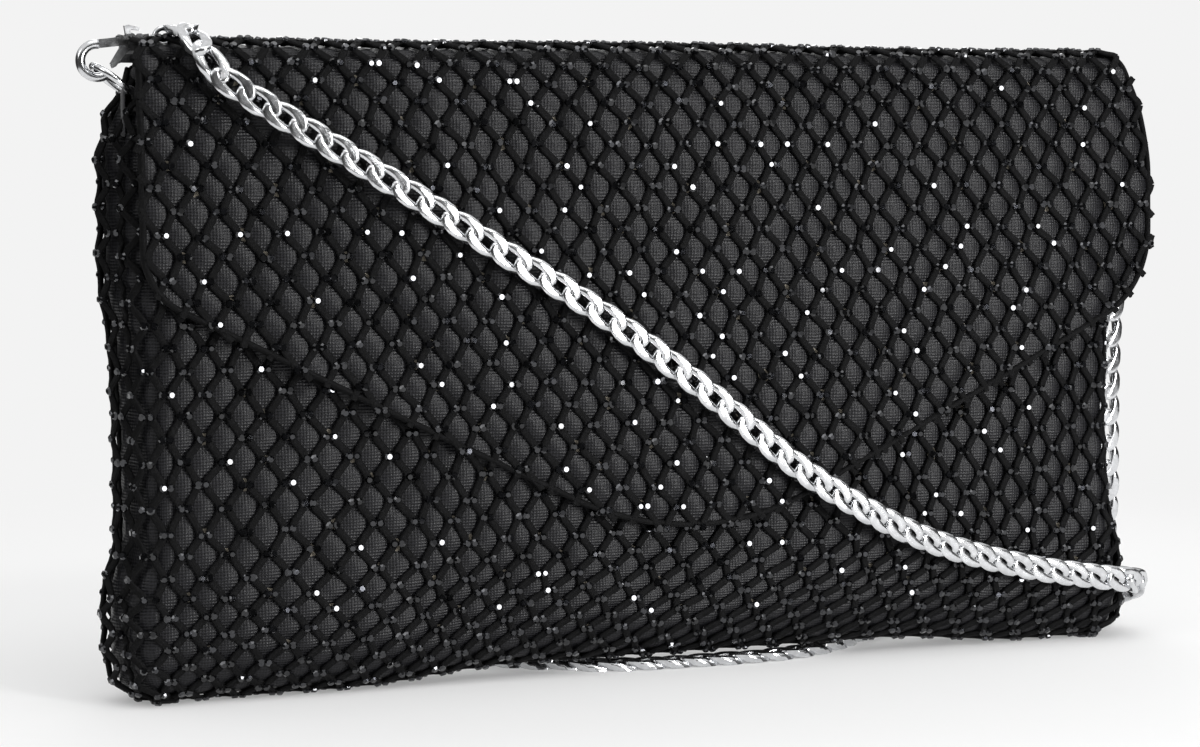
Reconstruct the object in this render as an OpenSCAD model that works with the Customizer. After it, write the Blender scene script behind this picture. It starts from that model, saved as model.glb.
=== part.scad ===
// Envelope evening bag: a slim flap-over clutch under a stone-set net, with a clip-on curb chain.
// X runs along the width, the flap faces -Y and Z is up. The bag stands on z = 0.
// Left and right are seen from the front, so the left end is the low end of X.

/* [Body] */
// Overall width, from the left gusset's bulge to the flap's right edge
width = 245; // [235:1:260]
// Overall height, to the top of the fold
height = 140; // [136:1:160]
// Overall depth at the fullest height, flap included
depth = 28; // [27:1:34]
// Height at which the front and back stand furthest out
full_z = 50; // [40:1:60]
// How far each face leans in from there to the top fold
lean = 3.3; // [2:0.1:4]
// How far each side gusset bulges past the panels
gusset_bulge = 2.5; // [2:0.1:3]
// How far the flap hangs past the body on the right
overhang = 4; // [3:0.5:5]
// How far the middle of the base stands off the surface
base_lift = 2.7; // [2.5:0.1:3]

/* [Flap] */
// Height of the lowest point of the flap
tip_z = 32.6; // [30:0.1:40]
// Distance of that point from the flap's centre line
tip_x = 3; // [0:1:6]
// Radius of the rounded tip
tip_r = 66; // [50:1:80]
// Slope of the two lower edges, in degrees
edge_slope = 26.5; // [24:0.5:28]
// Radius of the corner between an upright and a lower edge
corner_r = 15; // [10:1:18]
// Width of the bound hem
hem_w = 2.6; // [2:0.1:3]
// Outer radius of the two soft folds over the top
fold_r = 5; // [4.6:0.1:6]

/* [Layers] */
// Net with its stones
net_t = 1.2; // [1:0.1:1.4]
// Satin cover
satin_t = 0.5; // [0.4:0.1:0.6]
// Stiffening board
board_t = 1.0; // [0.8:0.1:1.2]
// Lining
lining_t = 0.5; // [0.4:0.1:0.6]

/* [Inside] */
// Width of the slip pocket
pocket_w = 126; // [100:1:140]
// Clear space behind the slip pocket
pocket_gap = 5.2; // [5:0.1:5.6]
// Diameter of the hidden magnets
magnet_d = 14; // [10:1:16]

/* [Chain and clasps] */
// Width of the flat curb chain
chain_w = 6; // [5:0.5:6]
// Thickness of the chain
chain_t = 2.2; // [1.8:0.1:2.2]
// Wire diameter of the rings on the bag
ring_wire = 1.4; // [1.2:0.1:1.4]
// Centre line radius of the clasps' hooks
hook_r = 3.4; // [3.3:0.1:3.6]
// Diameter of the hooks
hook_d = 2.0; // [1.8:0.1:2]

/* [Hidden] */

fabric = "#1b1b1d";
card = "#8a8478";
cloth = "#26262a";
steel = "#c9ccd0";

big = 400;
wall_t = net_t + satin_t + board_t + lining_t;
flap_gap = 0.4;
front_y = -depth / 2 + wall_t + flap_gap;
back_y = depth / 2;
mid_y = (front_y + back_y) / 2;
fold_z = height - fold_r;
face_r = (fold_z - full_z) ^ 2 / (2 * lean);
fold_y = depth / 2 - lean;
mouth_z = fold_z - 3;
binding_h = 2.5;

body_x0 = -width / 2 + gusset_bulge;
body_x1 = width / 2 - gusset_bulge - overhang;
gusset_half = 9.5;
gusset_r = (gusset_half ^ 2 + gusset_bulge ^ 2) / (2 * gusset_bulge);
gusset_top = fold_z - 9;
gusset_in = gusset_r - gusset_bulge;
side_t = net_t + satin_t + lining_t;

flap_x0 = -width / 2 + 3;
flap_x1 = width / 2;
flap_mid = (flap_x0 + flap_x1) / 2;
fold_half = 109;
shoulder_z = 22;

lift_from = -75;
lift_to = 95;
lift_ramp = 40;

magnet_z = tip_z + 13;
board_in = 5;

pocket_z0 = 38;
pocket_z1 = 100;
pocket_t = 0.6;
pocket_x = (body_x0 + body_x1) / 2;

// Layers count inwards from the outer face: [start, thickness]
net_l = [0, net_t];
satin_l = [net_t, satin_t];
board_l = [net_t + satin_t, board_t];
lining_l = [net_t + satin_t + board_t, lining_t];

// The clasps: the hook's centre, the turn about Y and the plane that each lies in
tab_x = 0.4;
tab_z = gusset_top + 2.4;
left_y = -3;
right_y = 5;
left_hook = [body_x0 - 7.0, left_y, height - 5];
right_hook = [body_x1 + 7.4, right_y, height - 19];
left_tilt = -7;
right_tilt = 90;
left_ring_ends = [[body_x0 - tab_x, tab_z], [body_x0 - 7.8, tab_z + 5.6]];
right_ring_ends = [[body_x1 + tab_x + 0.8, tab_z + 0.3], [body_x1 + 7.4, tab_z - 6.2]];
shank_v = 3.4;
pivot = [7.2, 3.2];
pin_d = 1.0;
clasp_w = 3.2;
slot_w = 1.8;
trigger_w = 1.0;
trigger_y = -0.3;
spring_y = 0.55;
spring_wire = 0.32;
tail_u = 12.6;
jump_u = 14.5;
jump_r = 1.75;
jump_wire = 1.1;

// The chain's route, as [point, direction that its flat side faces]. It starts at the left
// clasp, crosses the flap, turns the low right corner, dips under the base and climbs again.
chain_front_route = [
    [[-110.8, -3.4, 141.4], [0, -0.1, 1]],
    [[-109.6, -8.5, 141.2], [0, -0.4, 0.9]],
    [[-108.2, -13.8, 138], [0, -0.85, 0.5]],
    [[-104.6, -15.6, 132.6], [0, -1, 0.1]],
    [[-98, -16.2, 127.6], [0, -1, 0]],
    [[-66, -16.6, 108.8], [0, -1, 0]],
    [[-44, -16.7, 95.4], [0, -1, 0]],
    [[-20, -16.7, 81], [0, -1, 0]],
    [[4, -16.6, 64], [0, -1, 0]],
    [[27, -16.4, 46], [0, -1, 0]],
    [[45, -16, 35], [0, -1, 0]],
    [[64, -14.8, 26.4], [0, -1, 0]],
    [[88, -13.6, 19.6], [0, -1, 0]],
    [[108, -13.4, 16], [0, -1, 0]],
    [[117, -12.6, 14.6], [0.3, -1, 0]],
    [[122.4, -8, 13], [0.8, -0.6, 0]],
];
chain_back_route = [
    [[122.4, -8, 13], [0.8, -0.6, 0]],
    [[124.4, 0, 10.4], [1, 0, 0.2]],
    [[123.4, 10, 7], [0.9, 0.2, 0.5]],
    [[117, 19, 3], [0.3, 0.1, 1]],
    [[100, 21.5, 1.2], [0, 0, 1]],
    [[76, 20, 1.2], [0, 0, 1]],
    [[58, 13, 1.2], [0, 0, 1]],
    [[46, 3, 1.2], [0, 0, 1]],
    [[30, -3.6, 1.2], [0, 0, 1]],
    [[8, -4.4, 1.2], [0, 0, 1]],
    [[-12, -2, 1.2], [0, 0, 1]],
    [[-27, 6, 1.2], [0, 0, 1]],
    [[-40, 17, 1.2], [0, 0, 1]],
    [[-60, 22, 1.2], [0, 0, 1]],
    [[-94, 23, 1.2], [0, 0, 1]],
    [[-108, 25, 1.2], [0, 0, 1]],
    [[-113, 31, 1.2], [0, 0, 1]],
    [[-106, 37, 1.2], [0, 0, 1]],
    [[-86, 38, 1.2], [0, 0, 1]],
    [[-40, 37, 1.2], [0, 0, 1]],
    [[10, 38, 1.2], [0, 0, 1]],
    [[60, 36, 1.2], [0, 0, 1]],
    [[100, 37, 1.2], [0, 0, 1]],
    [[118, 34, 1.2], [0, 0, 1]],
    [[127, 26, 3.4], [0.2, 0.3, 1]],
    [[127.6, 18, 12], [0, 0.9, 0.5]],
    [[125, 11, 30], [0, 1, 0.2]],
    [[123, 8, 50], [0, 1, 0]],
    [[123, 7, 76], [0, 1, 0]],
    [[125.4, 5.6, 96], [0, 1, 0]],
    [[126.6, 5.2, 103.4], [0, 1, 0]],
];

// ---------- outlines ----------

function smooth(t) = t <= 0 ? 0 : t >= 1 ? 1 : (1 - cos(180 * t)) / 2;

function lift(x) = base_lift * smooth((x - lift_from) / lift_ramp) * smooth((lift_to - x) / lift_ramp);

function unit(v) = v / norm(v);

function turn_left(v) = [-v[1], v[0]];

// Moves each side of a convex outline in by d. The corners run anticlockwise as [x, y, radius].
function inset(pts, d) = [
    for (i = [0 : len(pts) - 1])
        let (
            p = [pts[i][0], pts[i][1]],
            a = pts[(i + len(pts) - 1) % len(pts)],
            b = pts[(i + 1) % len(pts)],
            n1 = turn_left(unit(p - [a[0], a[1]])),
            n2 = turn_left(unit([b[0], b[1]] - p)),
            q = p + d * (n1 + n2) / (1 + n1 * n2)
        )
        [q[0], q[1], max(pts[i][2] - d, 0.5)]
];

// Rounds each corner of an anticlockwise convex outline with its own radius
function rounded(pts, steps = 10) = [
    for (i = [0 : len(pts) - 1])
        let (
            p = [pts[i][0], pts[i][1]],
            a = pts[(i + len(pts) - 1) % len(pts)],
            b = pts[(i + 1) % len(pts)],
            u = unit([a[0], a[1]] - p),
            v = unit([b[0], b[1]] - p),
            half = acos(u * v) / 2,
            centre = p + unit(u + v) * pts[i][2] / sin(half),
            out = turn_left(u),
            start = atan2(out[1], out[0]),
            sweep = 180 - 2 * half
        )
        for (k = [0 : steps])
            let (t = start + sweep * k / steps)
            centre + pts[i][2] * [cos(t), sin(t)]
];

function flap_corners() =
    let (
        s = tan(edge_slope),
        drop = tip_r * (1 / cos(edge_slope) - 1),
        tip = [flap_mid + tip_x, tip_z - drop],
        left_z = tip[1] + s * (tip[0] - flap_x0),
        right_z = tip[1] + s * (flap_x1 - tip[0])
    )
    [
        [flap_x0, left_z, corner_r],
        [tip[0], tip[1], tip_r],
        [flap_x1, right_z, corner_r],
        [flap_x1, fold_z - shoulder_z * 0.4, shoulder_z],
        [fold_half, height + 30, 1],
        [-fold_half, height + 30, 1],
        [flap_x0, fold_z - shoulder_z * 0.4, shoulder_z],
    ];

function panel_corners(top) = [
    [body_x0, -10, 1],
    [body_x1, -10, 1],
    [body_x1, top - 6, 12],
    [fold_half, top + 4, 4],
    [-fold_half, top + 4, 4],
    [body_x0, top - 6, 12],
];

// ---------- building blocks ----------

// Extrudes a Y-Z outline along X, from x0 to x1
module along_x(x0, x1)
    translate([x0, 0, 0]) rotate([90, 0, 90]) linear_extrude(x1 - x0) children();

// Extrudes an X-Z outline along Y, through the whole bag
module along_y() translate([0, big / 2, 0]) rotate([90, 0, 0]) linear_extrude(big) children();

// One layer of a bulged face as a Y-Z outline. Side is -1 for the front and 1 for the back.
module face_layer(side, from, t, z0, z1) {
    y = side < 0 ? front_y : back_y;
    intersection() {
        difference() {
            translate([y - side * face_r, full_z]) circle(r = face_r - from, $fn = 2400);
            translate([y - side * face_r, full_z]) circle(r = face_r - from - t, $fn = 2400);
        }
        translate([side < 0 ? -60 : mid_y, z0]) square([side < 0 ? 60 + mid_y : 60, z1 - z0]);
    }
}

// The room between the front and back panels, as a Y-Z outline
module between(gap = 0) {
    r = face_r - wall_t - gap;
    intersection() {
        translate([front_y + face_r, full_z]) circle(r = r, $fn = 2400);
        translate([back_y - face_r, full_z]) circle(r = r, $fn = 2400);
        translate([-60, -20]) square([120, 220]);
    }
}

// Plan of the bag with its gussets' outer faces moved in
module plan(inward) {
    r = gusset_r - inward;
    for (x = [body_x0 + gusset_in, body_x1 - gusset_in]) translate([x, mid_y]) circle(r = r, $fn = 120);
    translate([body_x0 + gusset_in, mid_y - r]) square([body_x1 - body_x0 - 2 * gusset_in, 2 * r]);
}

// Everything below the raised bottom line, moved up by z
module below_base(z = 0)
    along_y() polygon([
        for (x = [-140 : 5 : 140]) [x, lift(x) + z],
        [140, -60],
        [-140, -60],
    ]);

module panel(side, layer, top, rim = 0, ends = 0) {
    difference() {
        intersection() {
            along_x(body_x0 + ends, body_x1 - ends) face_layer(side, layer[0], layer[1], -1, top - rim);
            along_y() polygon(rounded(inset(panel_corners(top), ends)));
        }
        below_base(ends);
    }
}

module magnet_hole(extra = 0)
    translate([flap_mid + tip_x, 0, magnet_z]) rotate([90, 0, 0]) cylinder(d = magnet_d + extra, h = 60, $fn = 64);

// ---------- front, back, sides and base ----------

module front_net() color(fabric) panel(-1, net_l, mouth_z, binding_h);
module front_satin() color(fabric) panel(-1, satin_l, mouth_z, binding_h);
module front_lining() color(cloth) panel(-1, lining_l, mouth_z, binding_h);
module front_board() color(card)
    difference() {
        panel(-1, board_l, mouth_z, binding_h, 2);
        magnet_hole(0.4);
    }
module front_magnet() color(steel)
    intersection() {
        panel(-1, board_l, mouth_z);
        magnet_hole();
    }

// A folded strip that closes the top edge of the front panel
module mouth_binding() color(cloth)
    difference() {
        panel(-1, [0, wall_t], mouth_z);
        translate([-big / 2, -big / 2, -60]) cube([big, big, mouth_z - binding_h + 60]);
    }

module back_net() color(fabric) panel(1, net_l, fold_z);
module back_satin() color(fabric) panel(1, satin_l, fold_z);
module back_board() color(card) panel(1, board_l, fold_z, 0, 2);
module back_lining() color(cloth) panel(1, lining_l, fold_z);

// A flat pouch sewn to the back lining, open at the top
module slip_pocket() color(cloth)
    difference() {
        along_x(pocket_x - pocket_w / 2, pocket_x + pocket_w / 2)
            face_layer(1, wall_t, pocket_gap + pocket_t, pocket_z0, pocket_z1);
        along_x(pocket_x - pocket_w / 2 + pocket_t, pocket_x + pocket_w / 2 - pocket_t)
            face_layer(1, wall_t - 1, pocket_gap + 1, pocket_z0 + pocket_t, pocket_z1 + 5);
    }

module gusset(side, from, t) {
    x = side < 0 ? body_x0 + gusset_in - big : body_x1 - gusset_in;
    intersection() {
        translate([0, 0, -1]) linear_extrude(gusset_top + 1)
            difference() {
                plan(from);
                plan(from + t);
            }
        along_x(-big / 2, big / 2) between();
        translate([x, -big / 2, 0]) cube(big);
    }
}

module left_net() color(fabric) gusset(-1, 0, net_t);
module left_gusset() color(fabric) gusset(-1, net_t, satin_t);
module left_lining() color(cloth) gusset(-1, net_t + satin_t, lining_t);
module right_net() color(fabric) gusset(1, 0, net_t);
module right_gusset() color(fabric) gusset(1, net_t, satin_t);
module right_lining() color(cloth) gusset(1, net_t + satin_t, lining_t);

module base_layer(from, t)
    difference() {
        intersection() {
            linear_extrude(20) plan(side_t);
            along_x(-big / 2, big / 2) between();
            below_base(from + t);
        }
        below_base(from);
    }

module base_net() color(fabric) base_layer(0, net_t);
module base_satin() color(fabric) base_layer(net_t, satin_t);
module base_board() color(card) base_layer(net_t + satin_t, board_t);
module base_lining() color(cloth) base_layer(net_t + satin_t + board_t, lining_t);

// ---------- the top: two soft folds with a flat spine between them ----------

module fold(side)
    along_x(-fold_half, fold_half)
        intersection() {
            translate([side * (fold_y - fold_r), fold_z])
                difference() {
                    circle(r = fold_r, $fn = 96);
                    circle(r = fold_r - wall_t, $fn = 96);
                }
            translate([side < 0 ? -60 - fold_y + fold_r : fold_y - fold_r, fold_z]) square([60, 60]);
        }

module spine(from, t)
    translate([-fold_half, -fold_y + fold_r, height - from - t]) cube([2 * fold_half, 2 * (fold_y - fold_r), t]);

module back_fold() color(fabric) fold(1);
module front_fold() color(fabric) fold(-1);
module spine_net() color(fabric) spine(net_l[0], net_l[1]);
module spine_satin() color(fabric) spine(satin_l[0], satin_l[1]);
module spine_board() color(card) spine(board_l[0], board_l[1]);
module spine_lining() color(cloth) spine(lining_l[0], lining_l[1]);

// ---------- flap ----------

module flap_layer(layer, in)
    intersection() {
        along_x(-big / 2, big / 2) face_layer(-1, layer[0] - wall_t - flap_gap, layer[1], 0, fold_z);
        along_y() polygon(rounded(inset(flap_corners(), in)));
    }

module flap_net() color(fabric) flap_layer(net_l, hem_w);
module flap_satin() color(fabric) flap_layer(satin_l, hem_w);
module flap_lining() color(cloth) flap_layer(lining_l, hem_w);
module flap_board() color(card)
    difference() {
        flap_layer(board_l, board_in);
        magnet_hole(0.4);
    }
module flap_magnet() color(steel)
    intersection() {
        flap_layer(board_l, board_in);
        magnet_hole();
    }

// A narrow rolled binding along the two uprights, the lower edges and the tip
module flap_hem() color(fabric)
    difference() {
        flap_layer([0, wall_t], 0);
        along_y() polygon(rounded(inset(flap_corners(), hem_w)));
    }

// ---------- rings, tabs and clasps ----------

function middle(ends) = (ends[0] + ends[1]) / 2;

// A round ring that stands on edge, from one X-Z point to another, in the plane of Y
module eye_ring(ends, y) {
    r = norm(ends[1] - ends[0]) / 2;
    d = ends[1] - ends[0];
    translate([middle(ends)[0], y, middle(ends)[1]]) rotate([0, -atan2(d[1], d[0]), 0])
        rotate_extrude($fn = 72) translate([r, 0]) circle(d = ring_wire, $fn = 24);
}

// A short fabric loop round the ring, sewn into the top of the gusset
module tab(end, y) {
    translate([end[0], y + 1.5, end[1]]) rotate([90, 0, 0])
        difference() {
            cylinder(r = 1.9, h = 3, $fn = 40);
            translate([0, 0, -1]) cylinder(r = 1.05, h = 5, $fn = 40);
        }
    translate([end[0] - 0.8, y - 1.5, gusset_top]) cube([1.6, 3, end[1] - gusset_top - 1.4]);
}

module left_tab() color(cloth) tab(left_ring_ends[0], left_y);
module right_tab() color(cloth) tab(right_ring_ends[0], right_y);
module left_ring() color(steel) eye_ring(left_ring_ends, left_y);
module right_ring() color(steel) eye_ring(right_ring_ends, right_y);

// Puts a clasp, drawn with its hook's centre at the origin and its tail along +X, in its place
module at_clasp(at, tilt) translate(at) rotate([0, tilt, 0]) children();

// Draws an X-Z outline of the given width, centred on y
module slab(w, y = 0) translate([0, y + w / 2, 0]) rotate([90, 0, 0]) linear_extrude(w) children();

module clasp_body() {
    hook_from = 75;
    hook_sweep = 238;
    difference() {
        union() {
            rotate([90, 0, 0]) rotate([0, 0, hook_from]) rotate_extrude(angle = hook_sweep, $fn = 96)
                translate([hook_r, 0]) circle(d = hook_d, $fn = 32);
            slab(clasp_w) polygon([[0.6, 2.5], [11.2, 2.5], [11.2, 4.3], [0.6, 4.3]]);
            slab(clasp_w) translate(pivot) circle(r = 1.5, $fn = 48);
            translate([tail_u, 0, shank_v]) rotate_extrude($fn = 64) translate([1.5, 0]) circle(d = 1, $fn = 24);
        }
        slab(slot_w) polygon([[4.0, 0], [10.2, 0], [10.2, 8], [4.0, 8]]);
        slab(10) translate(pivot) circle(d = pin_d, $fn = 32);
    }
}

// Lever, thumb piece and gate in one. The gate closes the hook, the thumb piece stands above.
module trigger_body()
    difference() {
        slab(trigger_w, trigger_y)
            union() {
                translate(pivot) circle(r = 1.25, $fn = 48);
                polygon([[6.2, 3.6], [2.6, -0.9], [2.9, -1.9], [3.7, -1.6], [7.6, 2.3]]);
                polygon([[6.6, 3.4], [7.8, 3.4], [7.6, 5.6], [9.6, 5.2], [9.6, 5.8], [7.4, 6.6], [6.5, 6.5]]);
            }
        slab(10) translate(pivot) circle(d = pin_d + 0.2, $fn = 32);
    }

module pin_body() slab(clasp_w) translate(pivot) circle(d = pin_d, $fn = 32);

// Two turns of wire round the pin, beside the trigger
module spring_body()
    for (k = [0, 1])
        translate([pivot[0], spring_y + (k - 0.5) * (spring_wire + 0.01), pivot[1]]) rotate([90, 0, 0])
            rotate_extrude($fn = 48) translate([0.85, 0]) circle(d = spring_wire, $fn = 16);

module jump_body()
    translate([jump_u, 0, shank_v]) rotate([90, 0, 0]) rotate_extrude($fn = 64)
        translate([jump_r, 0]) circle(d = jump_wire, $fn = 24);

module left_clasp() color(steel) at_clasp(left_hook, left_tilt) clasp_body();
module left_trigger() color(steel) at_clasp(left_hook, left_tilt) trigger_body();
module left_pin() color(steel) at_clasp(left_hook, left_tilt) pin_body();
module left_spring() color(steel) at_clasp(left_hook, left_tilt) spring_body();
module left_jump_ring() color(steel) at_clasp(left_hook, left_tilt) jump_body();
module right_clasp() color(steel) at_clasp(right_hook, right_tilt) clasp_body();
module right_trigger() color(steel) at_clasp(right_hook, right_tilt) trigger_body();
module right_pin() color(steel) at_clasp(right_hook, right_tilt) pin_body();
module right_spring() color(steel) at_clasp(right_hook, right_tilt) spring_body();
module right_jump_ring() color(steel) at_clasp(right_hook, right_tilt) jump_body();

// ---------- chain, as a plain flat tube along its route ----------

function pick(list, i) = list[min(max(i, 0), len(list) - 1)];

// A smooth curve through the route's points, and its facing directions, at t from 0 to len - 1
function spline(route, which, t) =
    let (
        i = min(floor(t), len(route) - 2),
        f = t - i,
        a = pick(route, i - 1)[which],
        b = route[i][which],
        c = route[i + 1][which],
        d = pick(route, i + 2)[which]
    )
    b + f / 2 * ((c - a) + f * ((2 * a - 5 * b + 4 * c - d) + f * (3 * (b - c) + d - a)));

module chain_tube(route, per_leg, sides = 8) {
    rings = (len(route) - 1) * per_leg;
    points = [
        for (i = [0 : rings])
            let (
                t = i / per_leg,
                p = spline(route, 0, t),
                along = unit(spline(route, 0, min(t + 0.05, rings / per_leg)) - spline(route, 0, max(t - 0.05, 0))),
                across = unit(cross(along, spline(route, 1, t))),
                up = cross(across, along)
            )
            for (k = [0 : sides - 1])
                let (a = 360 * k / sides)
                p + across * chain_w / 2 * cos(a) + up * chain_t / 2 * sin(a)
    ];
    walls = [
        for (i = [0 : rings - 1], k = [0 : sides - 1])
            let (
                a = i * sides + k,
                b = i * sides + (k + 1) % sides
            )
            each [[a, a + sides, b], [b, a + sides, b + sides]]
    ];
    ends = [
        [for (k = [0 : sides - 1]) k],
        [for (k = [sides - 1 : -1 : 0]) rings * sides + k],
    ];
    polyhedron(points, concat(walls, ends));
}

module chain_front() color(steel) chain_tube(chain_front_route, 2);
module chain_back() color(steel) chain_tube(chain_back_route, 2);

// ---------- drawing ----------

front_net();
front_satin();
front_board();
front_lining();
mouth_binding();
front_magnet();
back_net();
back_satin();
back_board();
back_lining();
slip_pocket();
left_net();
left_gusset();
left_lining();
right_net();
right_gusset();
right_lining();
base_net();
base_satin();
base_board();
base_lining();
back_fold();
spine_net();
spine_satin();
spine_board();
spine_lining();
front_fold();
flap_net();
flap_satin();
flap_board();
flap_lining();
flap_hem();
flap_magnet();
left_tab();
right_tab();
left_ring();
right_ring();
left_clasp();
right_clasp();
left_trigger();
right_trigger();
left_pin();
right_pin();
left_spring();
right_spring();
left_jump_ring();
right_jump_ring();
chain_front();
chain_back();
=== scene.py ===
"""A black evening bag: satin under a knotted net set with small cut stones, and a curb chain.

Lengths are in millimetres until a mesh is made, and every place is worked out from the frame.
"""

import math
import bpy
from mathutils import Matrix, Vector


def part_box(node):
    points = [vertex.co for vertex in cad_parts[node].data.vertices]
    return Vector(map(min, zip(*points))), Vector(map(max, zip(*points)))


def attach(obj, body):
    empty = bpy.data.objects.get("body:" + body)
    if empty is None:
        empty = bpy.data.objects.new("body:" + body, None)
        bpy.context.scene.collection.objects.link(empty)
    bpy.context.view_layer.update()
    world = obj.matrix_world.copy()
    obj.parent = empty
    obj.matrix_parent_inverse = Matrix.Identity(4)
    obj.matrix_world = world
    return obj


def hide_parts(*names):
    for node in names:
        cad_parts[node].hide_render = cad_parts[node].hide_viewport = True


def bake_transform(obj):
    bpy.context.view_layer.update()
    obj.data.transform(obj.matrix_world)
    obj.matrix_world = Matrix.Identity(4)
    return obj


bl_info = {
    "name": "Stone Net Evening Bag",
    "version": (1, 0, 0),
    "blender": (4, 5, 0),
    "location": "View3D > Sidebar > Evening Bag",
    "description": "Builds a satin envelope bag with a stone-set net and a curb chain strap",
    "category": "Add Mesh",
}

import bpy
import numpy as np
from mathutils import Vector

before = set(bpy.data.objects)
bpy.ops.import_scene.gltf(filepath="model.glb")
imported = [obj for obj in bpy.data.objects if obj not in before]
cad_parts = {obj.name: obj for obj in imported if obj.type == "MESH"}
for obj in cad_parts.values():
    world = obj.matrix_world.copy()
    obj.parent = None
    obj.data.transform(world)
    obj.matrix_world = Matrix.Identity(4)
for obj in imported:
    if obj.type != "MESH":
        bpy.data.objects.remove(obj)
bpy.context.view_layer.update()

MM = 0.001
TAU = 2 * math.pi


# ---------- places read from the frame ----------


def span(node):
    """The lowest and highest corners of a node, in millimetres."""
    low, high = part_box(node)
    return np.array(low) / MM, np.array(high) / MM


FRONT_LOW, FRONT_HIGH = span("front_net")
LEFT_LOW, LEFT_HIGH = span("left_net")
FLAP_LOW, FLAP_HIGH = span("flap_hem")
POCKET_LOW, POCKET_HIGH = span("slip_pocket")
BOARD_LOW, BOARD_HIGH = span("spine_board")
LINING_LOW, LINING_HIGH = span("spine_lining")
BACK_HIGH = span("back_net")[1]
SPINE_HIGH = span("spine_net")[1]
SATIN_HIGH = span("spine_satin")[1]
FOLD_HIGH = span("back_fold")[1]
RIM_HIGH = span("mouth_binding")[1]
FLAP_MAGNET = sum(span("flap_magnet")) / 2

BODY_LEFT, BODY_RIGHT = FRONT_LOW[0], FRONT_HIGH[0]
BODY_MID = (BODY_LEFT + BODY_RIGHT) / 2
FRONT_Y, BACK_Y = FRONT_LOW[1], BACK_HIGH[1]
MID_Y = (FRONT_Y + BACK_Y) / 2
HEIGHT = SPINE_HIGH[2]
FOLD_Z = BACK_HIGH[2]
FOLD_R = HEIGHT - FOLD_Z
FOLD_Y = FOLD_HIGH[1]
LEAN = BACK_Y - FOLD_Y
MOUTH_Z = RIM_HIGH[2]
GUSSET_TOP = LEFT_HIGH[2]
GUSSET_BULGE = BODY_LEFT - LEFT_LOW[0]
FLAP_LEFT, FLAP_RIGHT = FLAP_LOW[0], FLAP_HIGH[0]
FLAP_TIP = FLAP_LOW[2]
FOLD_HALF = SPINE_HIGH[0]

NET_T = SPINE_HIGH[2] - SATIN_HIGH[2]
SATIN_T = SATIN_HIGH[2] - BOARD_HIGH[2]
BOARD_T = BOARD_HIGH[2] - BOARD_LOW[2]
LINING_T = LINING_HIGH[2] - LINING_LOW[2]
WALL_T = NET_T + SATIN_T + BOARD_T + LINING_T

# Depths of each layer's two faces, counted out from the net's outer face
SATIN_FACES = (-NET_T, -NET_T - 0.3)
BOARD_FACES = (-NET_T - SATIN_T, -NET_T - SATIN_T - BOARD_T)
LINING_FACES = (-WALL_T + LINING_T, -WALL_T)

FULL_Z = 50.0  # height at which the faces stand fullest
FACE_R = (FOLD_Z - FULL_Z) ** 2 / (2 * LEAN)


# ---------- what a user would change ----------


def hex_colour(text):
    """An sRGB hex colour as linear RGB."""
    parts = [int(text[i : i + 2], 16) / 255 for i in (1, 3, 5)]
    return [c / 12.92 if c <= 0.04045 else ((c + 0.055) / 1.055) ** 2.4 for c in parts]


def length_prop(name, description, default):
    """A length in metres, shown with its unit. The default is given in millimetres."""
    return bpy.props.FloatProperty(
        name=name, description=description, default=default * MM, min=0.0, unit="LENGTH", precision=5
    )


def colour_prop(name, description, default):
    """A colour that starts from an sRGB hex value."""
    return bpy.props.FloatVectorProperty(
        name=name, description=description, default=hex_colour(default), size=3, subtype="COLOR"
    )


class NetSizes(bpy.types.PropertyGroup):
    """Sizes of the knotted net and its stones."""

    body_pitch: length_prop("Body pitch", "Distance between knots along a row of the body's net", 7.85)
    flap_pitch: length_prop("Flap pitch", "Distance between knots along a row of the flap's net", 8.6)
    body_row: length_prop("Body row", "Distance between rows of the body's net", 4.85)
    low_row: length_prop("Low row", "Distance between rows where the net gathers under the body", 3.6)
    flap_row: length_prop("Flap row", "Distance between rows of the flap's net", 4.7)
    cord_width: length_prop("Cord width", "Width of the doubled cord", 1.65)
    cord_height: length_prop("Cord height", "Height of the doubled cord", 1.0)
    stone_width: length_prop("Stone width", "Width of one stone", 1.85)
    stone_tilt: bpy.props.FloatProperty(
        name="Stone tilt", description="How far the stones lean at random", default=0.16, subtype="ANGLE"
    )


class ChainSizes(bpy.types.PropertyGroup):
    """Sizes of the curb chain."""

    width: length_prop("Width", "Width of the chain", 6.2)
    thickness: length_prop("Thickness", "Thickness between its ground faces", 2.1)
    wire: length_prop("Wire", "Diameter of the wire before grinding", 2.2)
    pitch: length_prop("Pitch", "Distance between links where the chain is drawn out", 6.4)
    eased_pitch: length_prop("Eased pitch", "Distance between links where the chain lies slack", 5.2)


class BagColours(bpy.types.PropertyGroup):
    """Colours of the bag's materials."""

    satin: colour_prop("Satin", "Satin under the net", "#0c0c0e")
    cord: colour_prop("Cord", "Cord of the net", "#131314")
    stone: colour_prop("Stone", "Cut stones", "#2e2f33")
    lining: colour_prop("Lining", "Lining inside the bag", "#232327")
    metal: colour_prop("Metal", "Chain, clasps and rings", "#dcdddf")
    floor: colour_prop("Floor", "Studio floor", "#f3f3f3")


# ---------- meshes ----------


def unit(vectors):
    """The same directions, each one long."""
    return vectors / np.linalg.norm(vectors, axis=-1)[..., None]


def walked(points):
    """Distance along a row of points, at each of them."""
    return np.concatenate([[0], np.cumsum(np.linalg.norm(np.diff(points, axis=0), axis=-1))])


def evenly(points, reach, places):
    """Points at the given places along a row of points whose own distances are known."""
    return np.stack([np.interp(places, reach, column) for column in points.T], -1)


def join(x, y, z):
    """Points from their three coordinates."""
    return np.stack(np.broadcast_arrays(x, y, z), -1)


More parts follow.
